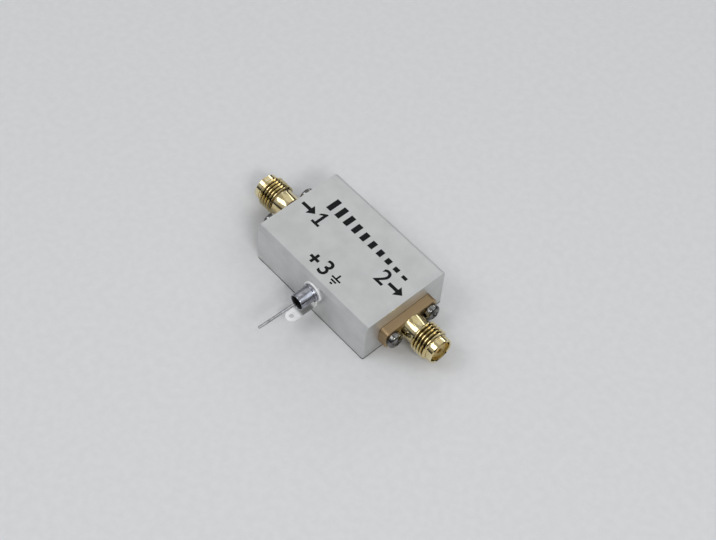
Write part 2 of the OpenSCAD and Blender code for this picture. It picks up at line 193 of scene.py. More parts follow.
@dataclass(frozen=True)
class Metal(Finish):
    """A bare or plated metal: patches of tint, and a grain that breaks up its gloss.

    The grain's stretch lengthens it along an axis, as turning, drawing and brushing do. A matt frosted
    coat scatters light like paper, which a metallic share below 1 stands for.
    """

    light: str
    dark: str
    roughness: float
    spread: float
    patch: float
    grain: float
    relief: float
    stretch: tuple[float, float, float] = (1.0, 1.0, 1.0)
    metallic: float = 1.0

    def dress(self, tree: Tree, shader: Node) -> None:
        """Wire tint, gloss and grain into the shader.

        Args:
            tree: The material's tree.
            shader: Its surface shader.
        """
        coords = add_node(tree, "ShaderNodeTexCoord").outputs["Object"]
        along = add_node(tree, "ShaderNodeMapping", {"Vector": coords, "Scale": self.stretch}).outputs[0]
        patches = add_node(tree, "ShaderNodeTexNoise",
                           {"Vector": coords, "Scale": per_mm(self.patch), "Detail": 3.0}).outputs[0]
        grain = add_node(tree, "ShaderNodeTexNoise",
                         {"Vector": along, "Scale": per_mm(self.grain), "Detail": 2.0}).outputs[0]
        share = add_node(tree, "ShaderNodeMapRange",
                         {"Value": patches, "From Min": NOISE_CORE[0],
                          "From Max": NOISE_CORE[1]}).outputs[0]
        tint = self.tint(tree, coords, share)
        gloss = add_node(tree, "ShaderNodeMapRange",
                         {"Value": grain, "From Min": NOISE_SPAN[0], "From Max": NOISE_SPAN[1],
                          "To Min": self.roughness - self.spread,
                          "To Max": self.roughness + self.spread}).outputs[0]
        bump = add_node(tree, "ShaderNodeBump",
                        {"Height": grain, "Strength": 1.0, "Distance": self.relief * MM}).outputs[0]
        wire(tree, shader, {"Base Color": tint, "Roughness": self.gloss(tree, coords, gloss),
                            "Metallic": self.metallic, "Normal": bump})

    def tint(self, tree: Tree, coords: Socket, share: Socket) -> Socket:
        """Colour that wanders between the dark and the light tint.

        Args:
            tree: The material's tree.
            coords: Object coordinates; not used here.
            share: How much of the light tint shows.

        Returns:
            The colour.
        """
        return add_node(tree, "ShaderNodeMix", {0: share, 6: hex_rgb(self.dark), 7: hex_rgb(self.light)},
                        data_type="RGBA").outputs[2]

    def gloss(self, tree: Tree, coords: Socket, grain: Socket) -> Socket:
        """Roughness of the surface, here the grain's alone."""
        return grain


@dataclass(frozen=True)
class CaseMetal(Metal):
    """The box's metal, with a thin dark line of painted contact shadow along its foot."""

    # The foot colour is a painted contact shadow: the dark line where the box stands on the floor
    foot: str = "#4C4C4A"
    foot_shade_h: float = 0.32
    foot_shade_fade: float = 0.12
    underside_lean: tuple[float, float] = (-0.95, -0.8)

    def tint(self, tree: Tree, coords: Socket, share: Socket) -> Socket:
        """The metal's own tint, with painted shade along the foot.

        Args:
            tree: The material's tree.
            coords: Object coordinates.
            share: How much of the light tint shows.

        Returns:
            The colour.
        """
        metal = super().tint(tree, coords, share)
        height = add_node(tree, "ShaderNodeSeparateXYZ", {0: coords}).outputs[2]
        low = add_node(tree, "ShaderNodeMapRange",
                       {"Value": height, "From Min": (self.foot_shade_h + self.foot_shade_fade) * MM,
                        "From Max": (self.foot_shade_h - self.foot_shade_fade) * MM}).outputs[0]
        # The painted shade stays off the underside: a wall's normal is level, the underside's points down
        facing = add_node(tree, "ShaderNodeNewGeometry").outputs["Normal"]
        lean = add_node(tree, "ShaderNodeSeparateXYZ", {0: facing}).outputs[2]
        wall = add_node(tree, "ShaderNodeMapRange",
                        {"Value": lean, "From Min": self.underside_lean[0],
                         "From Max": self.underside_lean[1]}).outputs[0]
        # Where the painted shadow line shows: low on the walls, not on the underside
        line = add_node(tree, "ShaderNodeMath", {0: low, 1: wall}, operation="MULTIPLY").outputs[0]
        return add_node(tree, "ShaderNodeMix", {0: line, 6: metal, 7: hex_rgb(self.foot)},
                        data_type="RGBA").outputs[2]


@dataclass(frozen=True)
class LugTin(Metal):
    """Tin on the solder lug: frosted white at the eyelet and round the stud, with painted shade on the
    tab under the can.
    """

    # The grey of the tab is painted shade: the shadow that the can casts on the lug
    tab_shade: str = "#8A8A88"
    tab_shade_from: float = -13.6
    tab_shade_to: float = -10.7
    fade: float = 0.35

    def tint(self, tree: Tree, coords: Socket, share: Socket) -> Socket:
        """The frosted tint, darkened along the tab by the can's painted shadow.

        Args:
            tree: The material's tree.
            coords: Object coordinates.
            share: How much of the light tint shows.

        Returns:
            The colour.
        """
        frosted = super().tint(tree, coords, share)
        across = add_node(tree, "ShaderNodeSeparateXYZ", {0: coords}).outputs[1]
        past_eyelet = add_node(tree, "ShaderNodeMapRange",
                               {"Value": across, "From Min": (self.tab_shade_from - self.fade) * MM,
                                "From Max": (self.tab_shade_from + self.fade) * MM}).outputs[0]
        before_wall = add_node(tree, "ShaderNodeMapRange",
                               {"Value": across, "From Min": (self.tab_shade_to + self.fade) * MM,
                                "From Max": (self.tab_shade_to - self.fade) * MM}).outputs[0]
        tab = add_node(tree, "ShaderNodeMath", {0: past_eyelet, 1: before_wall},
                       operation="MINIMUM").outputs[0]
        return add_node(tree, "ShaderNodeMix", {0: tab, 6: frosted, 7: hex_rgb(self.tab_shade)},
                        data_type="RGBA").outputs[2]


@dataclass(frozen=True)
class JackGold(Metal):
    """Gold plate on turned brass, with brown painted shade down in the thread, and matt on the tumbled
    flange.
    """

    # The groove colour is painted shade: the thread's roots are darkened as if shaded
    groove: str = "#4A3814"
    groove_shade_range: tuple[float, float] = (0.4, 0.95)
    flange: str = "#B29874"
    flange_roughness: float = 0.42
    flange_edge: float = 16.92
    blur: float = 0.04

    def turned(self, tree: Tree, coords: Socket) -> Socket:
        """Mask that is 1 on the turned barrel and 0 on the flange.

        Args:
            tree: The material's tree.
            coords: Object coordinates.

        Returns:
            The mask.
        """
        along = add_node(tree, "ShaderNodeSeparateXYZ", {0: coords}).outputs[0]
        reach = add_node(tree, "ShaderNodeMath", {0: along}, operation="ABSOLUTE").outputs[0]
        return add_node(tree, "ShaderNodeMapRange",
                        {"Value": reach, "From Min": (self.flange_edge - self.blur) * MM,
                         "From Max": (self.flange_edge + self.blur) * MM}).outputs[0]

    def tint(self, tree: Tree, coords: Socket, share: Socket) -> Socket:
        """Gold on the barrel, brown painted shade in the grooves, tan on the flange.

        Args:
            tree: The material's tree.
            coords: Object coordinates.
            share: How much of the light tint shows.

        Returns:
            The colour.
        """
        gold = super().tint(tree, coords, share)
        depth = add_node(tree, "ShaderNodeAttribute", attribute_name=GROOVE).outputs["Fac"]
        # Painted shade: the deeper the groove, the more of the brown shade colour shows
        groove_shade = add_node(tree, "ShaderNodeMapRange",
                        {"Value": depth, "From Min": self.groove_shade_range[0],
                         "From Max": self.groove_shade_range[1]}).outputs[0]
        cut = add_node(tree, "ShaderNodeMix", {0: groove_shade, 6: gold, 7: hex_rgb(self.groove)},
                       data_type="RGBA").outputs[2]
        barrel = self.turned(tree, coords)
        return add_node(tree, "ShaderNodeMix", {0: barrel, 6: hex_rgb(self.flange), 7: cut},
                        data_type="RGBA").outputs[2]

    def gloss(self, tree: Tree, coords: Socket, grain: Socket) -> Socket:
        """Roughness of the barrel and of the duller flange.

        Args:
            tree: The material's tree.
            coords: Object coordinates.
            grain: The barrel's roughness.

        Returns:
            The roughness.
        """
        barrel = self.turned(tree, coords)
        return add_node(tree, "ShaderNodeMix", {0: barrel, 2: self.flange_roughness, 3: grain},
                        data_type="FLOAT").outputs[0]


@dataclass(frozen=True)
class Moulded(Finish):
    """A moulded, poured or fired body: two close tints in specks, with a slightly uneven skin."""

    light: str
    dark: str
    roughness: float
    ior: float
    speck: float
    relief: float
    glow: float = 0.0
    glint: float = 0.5
    uneven: float = 0.2

    def dress(self, tree: Tree, shader: Node) -> None:
        """Wire tint, gloss and skin into the shader.

        Args:
            tree: The material's tree.
            shader: Its surface shader.
        """
        coords = add_node(tree, "ShaderNodeTexCoord").outputs["Object"]
        specks = add_node(tree, "ShaderNodeTexNoise",
                          {"Vector": coords, "Scale": per_mm(self.speck), "Detail": 4.0}).outputs[0]
        share = add_node(tree, "ShaderNodeMapRange",
                         {"Value": specks, "From Min": NOISE_CORE[0],
                          "From Max": NOISE_CORE[1]}).outputs[0]
        tint = add_node(tree, "ShaderNodeMix", {0: share, 6: hex_rgb(self.dark), 7: hex_rgb(self.light)},
                        data_type="RGBA").outputs[2]
        gloss = add_node(tree, "ShaderNodeMapRange",
                         {"Value": specks, "From Min": NOISE_SPAN[0], "From Max": NOISE_SPAN[1],
                          "To Min": self.roughness * (1 - self.uneven),
                          "To Max": self.roughness * (1 + self.uneven)}).outputs[0]
        bump = add_node(tree, "ShaderNodeBump",
                        {"Height": specks, "Strength": 1.0, "Distance": self.relief * MM}).outputs[0]
        wire(tree, shader, {"Base Color": tint, "Roughness": gloss, "IOR": self.ior, "Normal": bump,
                            "Subsurface Weight": self.glow, "Subsurface Scale": self.speck * MM,
                            "Specular IOR Level": self.glint})


@dataclass(frozen=True)
class WovenLaminate(Finish):
    """Glass cloth in resin: the weave's crossing yarns show through as a fine check."""

    light: str
    dark: str
    yarn: float
    roughness: float
    wander: float = 0.6
    relief: float = 0.01

    def dress(self, tree: Tree, shader: Node) -> None:
        """Wire the weave into the shader.

        Args:
            tree: The material's tree.
            shader: Its surface shader.
        """
        coords = add_node(tree, "ShaderNodeTexCoord").outputs["Object"]
        wave = {"Vector": coords, "Scale": per_mm(self.yarn) * WAVE_PERIOD, "Distortion": self.wander}
        warp = add_node(tree, "ShaderNodeTexWave", wave, bands_direction="X").outputs["Fac"]
        weft = add_node(tree, "ShaderNodeTexWave", wave, bands_direction="Y").outputs["Fac"]
        cross = add_node(tree, "ShaderNodeMath", {0: warp, 1: weft}, operation="MULTIPLY").outputs[0]
        tint = add_node(tree, "ShaderNodeMix", {0: cross, 6: hex_rgb(self.dark), 7: hex_rgb(self.light)},
                        data_type="RGBA").outputs[2]
        bump = add_node(tree, "ShaderNodeBump",
                        {"Height": cross, "Strength": 1.0, "Distance": self.relief * MM}).outputs[0]
        wire(tree, shader, {"Base Color": tint, "Roughness": self.roughness, "Normal": bump})


# Bead-blasted aluminium: an even silver grey that scatters light, with faint clouds from handling. The
# grit is some 0.05 mm in truth, too fine for the picture, and is drawn three times as coarse.
BLASTED_ALUMINIUM = CaseMetal("blasted_aluminium", "#D8D9D8", "#D0D1D0", roughness=0.46, spread=0.06,
                              patch=3.5, grain=0.15, relief=0.003)
# Milled aluminium cover: fine cutter lines along its length give it a soft sheen across them.
MILLED_ALUMINIUM = Metal("milled_aluminium", "#DADADA", "#D0D1D1", roughness=0.34, spread=0.08,
                         patch=4.0, grain=0.12, relief=0.008, stretch=(0.04, 1.0, 1.0))
# Gold plate over turned brass: bright yellow glints, faint tool rings round the axis.
JACK_GOLD = JackGold("gold_plate_on_turned_brass", "#EDE1B8", "#D6C38E", roughness=0.12, spread=0.04,
                     patch=1.6, grain=0.1, relief=0.0015, stretch=(1.0, 0.05, 0.05))
# Gold-plated beryllium copper of the centre contact: a deeper, warmer yellow than the body's.
CONTACT_GOLD = Metal("gold_plate_on_spring_copper", "#EDC56F", "#D9A94C", roughness=0.2, spread=0.05,
                     patch=0.6, grain=0.08, relief=0.001, stretch=(1.0, 0.05, 0.05))
# Plated machine-screw steel: a shiny grey with small darker patches.
SCREW_STEEL = Metal("plated_machine_screw_steel", "#8C8B88", "#484745", roughness=0.1, spread=0.04,
                    patch=0.9, grain=0.14, relief=0.002)
# Tin-plated turned brass: a cool bright grey with faint rings round the axis.
TINNED_BRASS = Metal("tin_plate_on_turned_brass", "#C4C6CD", "#97989F", roughness=0.13, spread=0.04,
                     patch=1.1, grain=0.12, relief=0.002, stretch=(0.05, 1.0, 0.05))
# Tinned copper wire: drawn lines run along it.
TINNED_WIRE = Metal("tinned_copper_wire", "#C4C4C4", "#9A9A9A", roughness=0.12, spread=0.04,
                    patch=0.8, grain=0.07, relief=0.001, stretch=(1.0, 0.03, 1.0))
# Tinned sheet of the solder lug: frosted white, with the soft blotches of hot tin.
TINNED_SHEET = LugTin("hot_tinned_sheet", "#FFFFFF", "#F8F8F7", roughness=0.38, spread=0.08,
                      patch=0.7, grain=0.12, relief=0.003, metallic=0.1)
# Fluoropolymer of the jack's insulator: waxy white, light soaks into it.
WHITE_DIELECTRIC = Moulded("white_fluoropolymer", "#EFE9DC", "#E2D9C8", roughness=0.4, ior=1.35,
                           speck=0.5, relief=0.006, glow=0.2)
# Barium titanate tube of the capacitor: a dry buff ceramic.
TUBE_CERAMIC = Moulded("fired_titanate_ceramic", "#D9C9A8", "#C6B48F", roughness=0.6, ior=1.6,
                       speck=0.2, relief=0.006)
# Black potting epoxy: deep black with next to no glint, and a slow ripple from pouring.
BLACK_EPOXY = Moulded("poured_black_epoxy", "#050505", "#020202", roughness=0.4, ior=1.55,
                      speck=0.7, relief=0.02, glint=0.03)
# Moulded package of the diode quad: filled epoxy, a matt near-black.
MOULDED_PACKAGE = Moulded("filled_epoxy_moulding", "#2A2A2B", "#1A1A1B", roughness=0.5, ior=1.55,
                          speck=0.15, relief=0.006)
# Chip capacitors: fired dielectric, buff brown.
CHIP_CERAMIC = Moulded("fired_chip_ceramic", "#B99672", "#A17C58", roughness=0.45, ior=1.7,
                       speck=0.15, relief=0.004)
# Chip resistors: black overglaze on white alumina, seen from the glazed side.
CHIP_RESISTOR = Moulded("glazed_chip_resistor", "#34343A", "#212126", roughness=0.35, ior=1.6,
                        speck=0.2, relief=0.004)
# Ferrite of the chokes: sintered, dark grey and dull.
CHOKE_FERRITE = Moulded("sintered_ferrite", "#4A4743", "#35332F", roughness=0.6, ior=1.9,
                        speck=0.2, relief=0.008)
# Screen-printed epoxy ink: near-black and faintly mottled, with only a slight gloss.
PRINT_INK = Moulded("printed_black_ink", "#141416", "#0A0A0C", roughness=0.5, ior=1.5,
                    speck=0.25, relief=0.003, glint=0.15)
# Seamless studio paper, pale and matt, with a faint tooth.
STUDIO_PAPER = Moulded("studio_paper", "#DADADA", "#D6D6D6", roughness=0.9, ior=1.4,
                       speck=1.5, relief=0.02)
# Glass-cloth laminate under solder mask: deep green with the weave just showing.
LAMINATE = WovenLaminate("green_glass_cloth_laminate", "#2F6E48", "#265C3B", yarn=0.5, roughness=0.45)


# Meshes


def ring(bm: BMesh, radius: float, height: float, steps: int = ROUND_STEPS) -> Loop:
    """Add a circle of points round local Z.

    Args:
        bm: The mesh to add to.
        radius: The circle's radius.
        height: Its place along Z.
        steps: How many points it has.

    Returns:
        The points in order.
    """
    turns = [math.tau * i / steps for i in range(steps)]
    return [bm.verts.new((radius * math.cos(t), radius * math.sin(t), height)) for t in turns]


def rounded_plate(bm: BMesh, size: tuple[float, float], radius: float, height: float,
                  steps: int = 8) -> Loop:
    """Add the outline of a plate with rounded corners.

    Args:
        bm: The mesh to add to.
        size: The plate's extent in X and Y.
        radius: The corners' radius.
        height: Its place along Z.
        steps: Stretches in each corner.

    Returns:
        The points in order.
    """
    loop = []
    for corner, (sx, sy) in enumerate(((1, 1), (-1, 1), (-1, -1), (1, -1))):
        centre = Vector((sx * (size[0] / 2 - radius), sy * (size[1] / 2 - radius), height))
        for i in range(steps + 1):
            turn = math.pi / 2 * (corner + i / steps)
            loop.append(bm.verts.new(centre + radius * Vector((math.cos(turn), math.sin(turn), 0))))
    return loop


def skin(bm: BMesh, loops: Sequence[Loop]) -> None:
    """Join loops of equal count with bands of faces.

    Args:
        bm: The mesh that holds them.
        loops: The loops in order.
    """
    for lower, upper in zip(loops, loops[1:]):
        for i, point in enumerate(lower):
            j = (i + 1) % len(lower)
            bm.faces.new((point, lower[j], upper[j], upper[i]))


def fill_flat(bm: BMesh, loops: Sequence[Loop]) -> None:
    """Fill a plane face that has an outline and holes.

    Args:
        bm: The mesh that holds them.
        loops: The outline and the holes.
    """
    edges = []
    for loop in loops:
        for a, b in zip(loop, loop[1:] + loop[:1]):
            edges.append(bm.edges.get((a, b)) or bm.edges.new((a, b)))
    bmesh.ops.triangle_fill(bm, use_beauty=True, use_dissolve=False, edges=edges)


def lathe(bm: BMesh, profile: Sequence[tuple[float, float]], closed: bool = False,
          steps: int = ROUND_STEPS) -> None:
    """Turn a profile round local Z.

    Args:
        bm: The mesh to add to.
        profile: Radius and height of each point; a radius of 0 makes a pole.
        closed: Whether the last point joins the first, as in a ring.
        steps: Points round the axis.
    """
    loops = [ring(bm, radius, height, steps) for radius, height in profile]
    skin(bm, loops + loops[:1] if closed else loops)


def arc(centre: tuple[float, float], radius: float, start: float, stop: float,
        steps: int = 6) -> list[tuple[float, float]]:
    """Points of a round stretch of a profile.

    Args:
        centre: The arc's centre.
        radius: Its radius.
        start: First angle in degrees.
        stop: Last angle in degrees.
        steps: Stretches in the arc.

    Returns:
        The points in order.
    """
    turns = [math.radians(start + (stop - start) * i / steps) for i in range(steps + 1)]
    return [(centre[0] + radius * math.cos(t), centre[1] + radius * math.sin(t)) for t in turns]


def plain_mesh(obj: Object) -> bpy.types.Mesh:
    """The object's mesh with its modifiers carried out.

    Args:
        obj: The object, which is in the scene.

    Returns:
        A new mesh.
    """
    depsgraph = bpy.context.evaluated_depsgraph_get()
    return bpy.data.meshes.new_from_object(obj.evaluated_get(depsgraph), preserve_all_data_layers=True,
                                           depsgraph=depsgraph)


def put_in_scene(name: str, data: bpy.types.ID) -> Object:
    """Make an object of some data and link it to the scene.

    Args:
        name: The object's name.
        data: Its mesh, curve, light or camera.

    Returns:
        The object.
    """
    obj = bpy.data.objects.new(name, data)
    bpy.context.scene.collection.objects.link(obj)
    return obj


def finish_mesh(name: str, bm: BMesh, finish: Finish, place: Matrix | None = None) -> Object:
    """Weld a mesh, face it outwards, shade it and put it in the scene.

    Args:
        name: The piece's name.
        bm: The mesh in millimetres; it is used up.
        finish: What it is made of.
        place: Where it goes, if it was drawn in a frame of its own.

    Returns:
        The piece's object.
    """
    bmesh.ops.remove_doubles(bm, verts=bm.verts, dist=WELD_MM)
    bmesh.ops.recalc_face_normals(bm, faces=bm.faces)
    bm.transform(Matrix.Scale(MM, 4) @ (place or Matrix.Identity(4)))
    mesh = bpy.data.meshes.new(name)
    bm.to_mesh(mesh)
    bm.free()
    mesh.shade_smooth()
    mesh.set_sharp_from_angle(angle=SHARP_ANGLE)
    mesh.materials.append(finish.material())
    obj = put_in_scene(name, mesh)
    weights = obj.modifiers.new("even_flats", "WEIGHTED_NORMAL")
    weights.keep_sharp = True
    shaded = plain_mesh(obj)
    obj.modifiers.clear()
    obj.data = shaded
    shaded.name = name
    bpy.data.meshes.remove(mesh)
    return obj


def every_edge(middle: Vector) -> bool:
    """The test that takes every sharp edge."""
    return True


def softened_copy(node: str, name: str, finish: Finish,
                  breaks: Sequence[tuple[float, Callable[[Vector], bool]]]) -> Object:
    """Copy a node with its sharp edges broken, as deburring leaves them.

    Args:
        node: The node to copy.
        name: The new piece's name.
        finish: What it is made of.
        breaks: Width of each kind of broken edge, and a test of an edge's middle that finds them.

    Returns:
        The piece's object.
    """
    bm = bmesh.new()
    bm.from_mesh(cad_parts[node].data)
    bm.transform(Matrix.Scale(1 / MM, 4))
    bmesh.ops.remove_doubles(bm, verts=bm.verts, dist=WELD_MM)
    bmesh.ops.dissolve_limit(bm, angle_limit=FLAT_ANGLE, verts=bm.verts, edges=bm.edges)
    for width, chosen in breaks:
        sharp = [e for e in bm.edges if e.is_manifold and e.calc_face_angle() > SHARP_ANGLE
                 and chosen((e.verts[0].co + e.verts[1].co) / 2)]
        bmesh.ops.bevel(bm, geom=sharp, offset=width, offset_type="OFFSET", segments=2, profile=0.5,
                        affect="EDGES", clamp_overlap=True)
    return finish_mesh(name, bm, finish)


def settle(piece: Object, nodes: Sequence[str] = ()) -> None:
    """Tie a finished piece to the frame and report it.

    Args:
        piece: The finished object.
        nodes: The nodes that it stands for.
    """
    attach(piece, BODY)
    if nodes:
        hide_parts(*nodes)
    log.info("%s: %d faces", piece.name, len(piece.data.polygons))


def dress_node(node: str, finish: Finish) -> None:
    """Give a node that stays as it is its finish, and report it.

    Args:
        node: The node's name.
        finish: What it is made of.
    """
    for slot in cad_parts[node].material_slots:
        slot.material = finish.material()
    log.info("%s: dressed as %s", node, finish.name)


# Geometry trees


def new_tree(name: str, sockets: dict[str, str]) -> tuple[Tree, Node, Node]:
    """Start a geometry tree with named inputs.

    Args:
        name: The tree's name.
        sockets: Type of each input by name, beside the geometry.

    Returns:
        The tree, its input node and its output node.
    """
    tree = bpy.data.node_groups.new(name, "GeometryNodeTree")
    tree.interface.new_socket("Geometry", in_out="INPUT", socket_type="NodeSocketGeometry")
    for label, kind in sockets.items():
        tree.interface.new_socket(label, in_out="INPUT", socket_type=f"NodeSocket{kind}")
    tree.interface.new_socket("Geometry", in_out="OUTPUT", socket_type="NodeSocketGeometry")
    return tree, tree.nodes.new("NodeGroupInput"), tree.nodes.new("NodeGroupOutput")


def end_tree(tree: Tree, source: Node, sink: Node, geometry: Socket) -> None:
    """Close a tree: real geometry with its material.

    Args:
        tree: The tree.
        source: Its input node, with an input named Material.
        sink: Its output node.
        geometry: What the tree has made.
    """
    real = add_node(tree, "GeometryNodeRealizeInstances", {"Geometry": geometry}).outputs[0]
    dressed = add_node(tree, "GeometryNodeSetMaterial",
                       {"Geometry": real, "Material": source.outputs["Material"]}).outputs[0]
    wire(tree, sink, {"Geometry": dressed})


def grow(tree: Tree, values: dict, start: bpy.types.Mesh | None = None) -> BMesh:
    """Run a tree and hand over what it makes.

    Args:
        tree: The finished tree.
        values: Its inputs by name.
        start: The mesh that it starts from, if it needs one.

    Returns:
        The result as an editable mesh.
    """
    obj = bpy.data.objects.new(tree.name, start or bpy.data.meshes.new(tree.name))
    modifier = obj.modifiers.new(tree.name, "NODES")
    modifier.node_group = tree
    for item in tree.interface.items_tree:
        if item.in_out == "INPUT" and item.name in values:
            modifier[item.identifier] = values[item.name]
    bpy.context.scene.collection.objects.link(obj)
    mesh = plain_mesh(obj)
    bpy.data.objects.remove(obj)
    bm = bmesh.new()
    bm.from_mesh(mesh)
    bpy.data.meshes.remove(mesh)
    return bm


def thread_tree() -> Tree:
    """Build the tree that cuts an outside screw thread as one sheared sheet wound round local Z.

    Returns:
        The tree.
    """
    lengths = ("Pitch", "Travel", "Middle", "Start", "End", "Full from", "Full to", "Start radius",
               "End radius", "Root radius", "Depth", "Root flat", "Crest flat")
    tree, source, sink = new_tree("screw_thread", {
        **dict.fromkeys(lengths, "Float"), "Rows": "Int", "Columns": "Int", "Material": "Material"})
    given = source.outputs
    sheet = add_node(tree, "GeometryNodeMeshGrid", {
        "Size X": math.tau, "Size Y": given["Travel"],
        "Vertices X": given["Columns"], "Vertices Y": given["Rows"]}).outputs["Mesh"]
    place = add_node(tree, "GeometryNodeInputPosition").outputs[0]
    parts = add_node(tree, "ShaderNodeSeparateXYZ", {0: place})
    turn, along = parts.outputs[0], parts.outputs[1]
    # A full turn moves the sheet on by one pitch, which makes the helix
    lead = add_node(tree, "ShaderNodeMath", {0: given["Pitch"], 1: math.tau},
                    operation="DIVIDE").outputs[0]
    climbed = add_node(tree, "ShaderNodeMath", {0: turn, 1: lead, 2: along},
                       operation="MULTIPLY_ADD").outputs[0]
    centred = add_node(tree, "ShaderNodeMath", {0: climbed, 1: given["Middle"]},
                       operation="ADD").outputs[0]
    station = add_node(tree, "ShaderNodeClamp",
                       {"Value": centred, "Min": given["Start"], "Max": given["End"]}).outputs[0]
    # Flat roots, sloped flanks and flat crests
    turns = add_node(tree, "ShaderNodeMath", {0: along, 1: given["Pitch"]}, operation="DIVIDE").outputs[0]
    wave = add_node(tree, "ShaderNodeMath", {0: turns, 1: 0.5}, operation="PINGPONG").outputs[0]
    rise = add_node(tree, "ShaderNodeMapRange", {
        "Value": wave, "From Min": given["Root flat"], "From Max": given["Crest flat"]}).outputs[0]
    full = add_node(tree, "ShaderNodeMath", {0: rise, 1: given["Depth"], 2: given["Root radius"]},
                    operation="MULTIPLY_ADD").outputs[0]
    # The thread runs out to the plain turned surface at both ends
    begin = add_node(tree, "ShaderNodeMapRange", {
        "Value": station, "From Min": given["Start"], "From Max": given["Full from"]}).outputs[0]
    cease = add_node(tree, "ShaderNodeMapRange", {
        "Value": station, "From Min": given["End"], "From Max": given["Full to"]}).outputs[0]
    ramp = add_node(tree, "ShaderNodeMath", {0: begin, 1: cease}, operation="MINIMUM").outputs[0]
    plain = add_node(tree, "ShaderNodeMapRange", {
        "Value": station, "From Min": given["Start"], "From Max": given["End"],
        "To Min": given["Start radius"], "To Max": given["End radius"]}).outputs[0]
    radius = add_node(tree, "ShaderNodeMix", {0: ramp, 2: plain, 3: full}, data_type="FLOAT").outputs[0]
    straight = add_node(tree, "ShaderNodeCombineXYZ", {0: radius, 2: station}).outputs[0]
    wound = add_node(tree, "ShaderNodeVectorRotate", {"Vector": straight, "Angle": turn},
                     rotation_type="Z_AXIS").outputs[0]
    low = add_node(tree, "ShaderNodeMath", {0: 1.0, 1: rise}, operation="SUBTRACT").outputs[0]
    groove = add_node(tree, "ShaderNodeMath", {0: low, 1: ramp}, operation="MULTIPLY").outputs[0]
    # The groove's depth is stored before the points move, because it follows the flat sheet
    # The gold's material paints shade into the grooves by this depth
    marked = add_node(tree, "GeometryNodeStoreNamedAttribute",
                      {"Geometry": sheet, "Name": GROOVE, "Value": groove}, data_type="FLOAT").outputs[0]
    moved = add_node(tree, "GeometryNodeSetPosition", {"Geometry": marked, "Position": wound}).outputs[0]
    seam = add_node(tree, "GeometryNodeMergeByDistance", {"Geometry": moved, "Distance": WELD_MM})
    end_tree(tree, source, sink, seam.outputs[0])
    return tree


def screw_tree() -> Tree:
    """Build the tree that sets a screw on each point, each turned as the driver left it.

    Returns:
        The tree.
    """
    tree, source, sink = new_tree("set_of_screws", {
        "Screw": "Object", "Seed": "Int", "Material": "Material"})
    screw = add_node(tree, "GeometryNodeObjectInfo", {"Object": source.outputs["Screw"]},
                     transform_space="ORIGINAL")
    spin = add_node(tree, "FunctionNodeRandomValue", {"Max": math.tau, "Seed": source.outputs["Seed"]},
                    data_type="FLOAT")
    angle = next(s for s in spin.outputs if s.enabled)
    axis = add_node(tree, "ShaderNodeCombineXYZ", {2: angle}).outputs[0]
    placed = add_node(tree, "GeometryNodeInstanceOnPoints", {
        "Points": source.outputs["Geometry"], "Instance": screw.outputs["Geometry"], "Rotation": axis})
    end_tree(tree, source, sink, placed.outputs[0])
    return tree


def wire_tree() -> Tree:
    """Build the tree that draws a round wire along a path.

    Returns:
        The tree.
    """
    tree, source, sink = new_tree("round_wire", {
        "Radius": "Float", "Sides": "Int", "Material": "Material"})
    path = add_node(tree, "GeometryNodeMeshToCurve", {"Mesh": source.outputs["Geometry"]}).outputs[0]
    section = add_node(tree, "GeometryNodeCurvePrimitiveCircle", {
        "Radius": source.outputs["Radius"], "Resolution": source.outputs["Sides"]}).outputs[0]
    drawn = add_node(tree, "GeometryNodeCurveToMesh",
                     {"Curve": path, "Profile Curve": section, "Fill Caps": True}).outputs[0]
    end_tree(tree, source, sink, drawn)
    return tree


def bar_tree() -> Tree:
    """Build the tree that sets a row of bars, each shorter than the one before.

    Returns:
        The tree.
    """
    tree, source, sink = new_tree("falling_bars", {
        "Count": "Int", "Spacing": "Float", "Fall": "Float", "Material": "Material"})
    given = source.outputs
    step = add_node(tree, "ShaderNodeCombineXYZ", {0: given["Spacing"]}).outputs[0]
    row = add_node(tree, "GeometryNodeMeshLine", {"Count": given["Count"], "Offset": step}).outputs[0]
    index = add_node(tree, "GeometryNodeInputIndex").outputs[0]
    loss = add_node(tree, "ShaderNodeMath", {0: index, 1: given["Fall"]}, operation="MULTIPLY").outputs[0]
    left = add_node(tree, "ShaderNodeMath", {0: 1.0, 1: loss}, operation="SUBTRACT").outputs[0]
    size = add_node(tree, "ShaderNodeCombineXYZ", {0: 1.0, 1: left, 2: 1.0}).outputs[0]
    placed = add_node(tree, "GeometryNodeInstanceOnPoints", {
        "Points": row, "Instance": given["Geometry"], "Scale": size})
    end_tree(tree, source, sink, placed.outputs[0])
    return tree


# Sub-assemblies


@dataclass
class Case:
    """The milled box and its cover: satin metal with deburred edges."""

    edge_break: float = 0.1
    foot_break: float = 0.3
    lid_break: float = 0.06
    skin_depth: float = 0.05
    half_size: Vector = field(default_factory=lambda: node_box("housing")[1])

    def is_outer(self, middle: Vector) -> bool:
        """Whether an edge lies on the outside of the box, where it was deburred.

        Args:
            middle: The edge's middle.

        Returns:
            True on the two ends, the two sides and the top.
        """
        depth = self.skin_depth
        on_end = abs(middle.x) > self.half_size.x - depth
        on_side = abs(middle.y) > self.half_size.y - depth
        return (on_end or on_side or middle.z > self.half_size.z - depth) and middle.z > self.foot_break

    def is_foot(self, middle: Vector) -> bool:
        """Whether an edge runs round the foot of the box, which is rounded off more.

        Args:
            middle: The edge's middle.

        Returns:
            True on the outline of the underside.
        """
        depth = self.skin_depth
        outer = abs(middle.x) > self.half_size.x - depth or abs(middle.y) > self.half_size.y - depth
        return outer and middle.z < depth

    def build(self) -> None:
        """Make the box and the cover and dress them."""
        breaks = ((self.foot_break, self.is_foot), (self.edge_break, self.is_outer))
        box = softened_copy("housing", "case_box", BLASTED_ALUMINIUM, breaks)
        settle(box, ["housing"])
        lid = softened_copy("bottom_lid", "case_lid", MILLED_ALUMINIUM, ((self.lid_break, every_edge),))
        settle(lid, ["bottom_lid"])


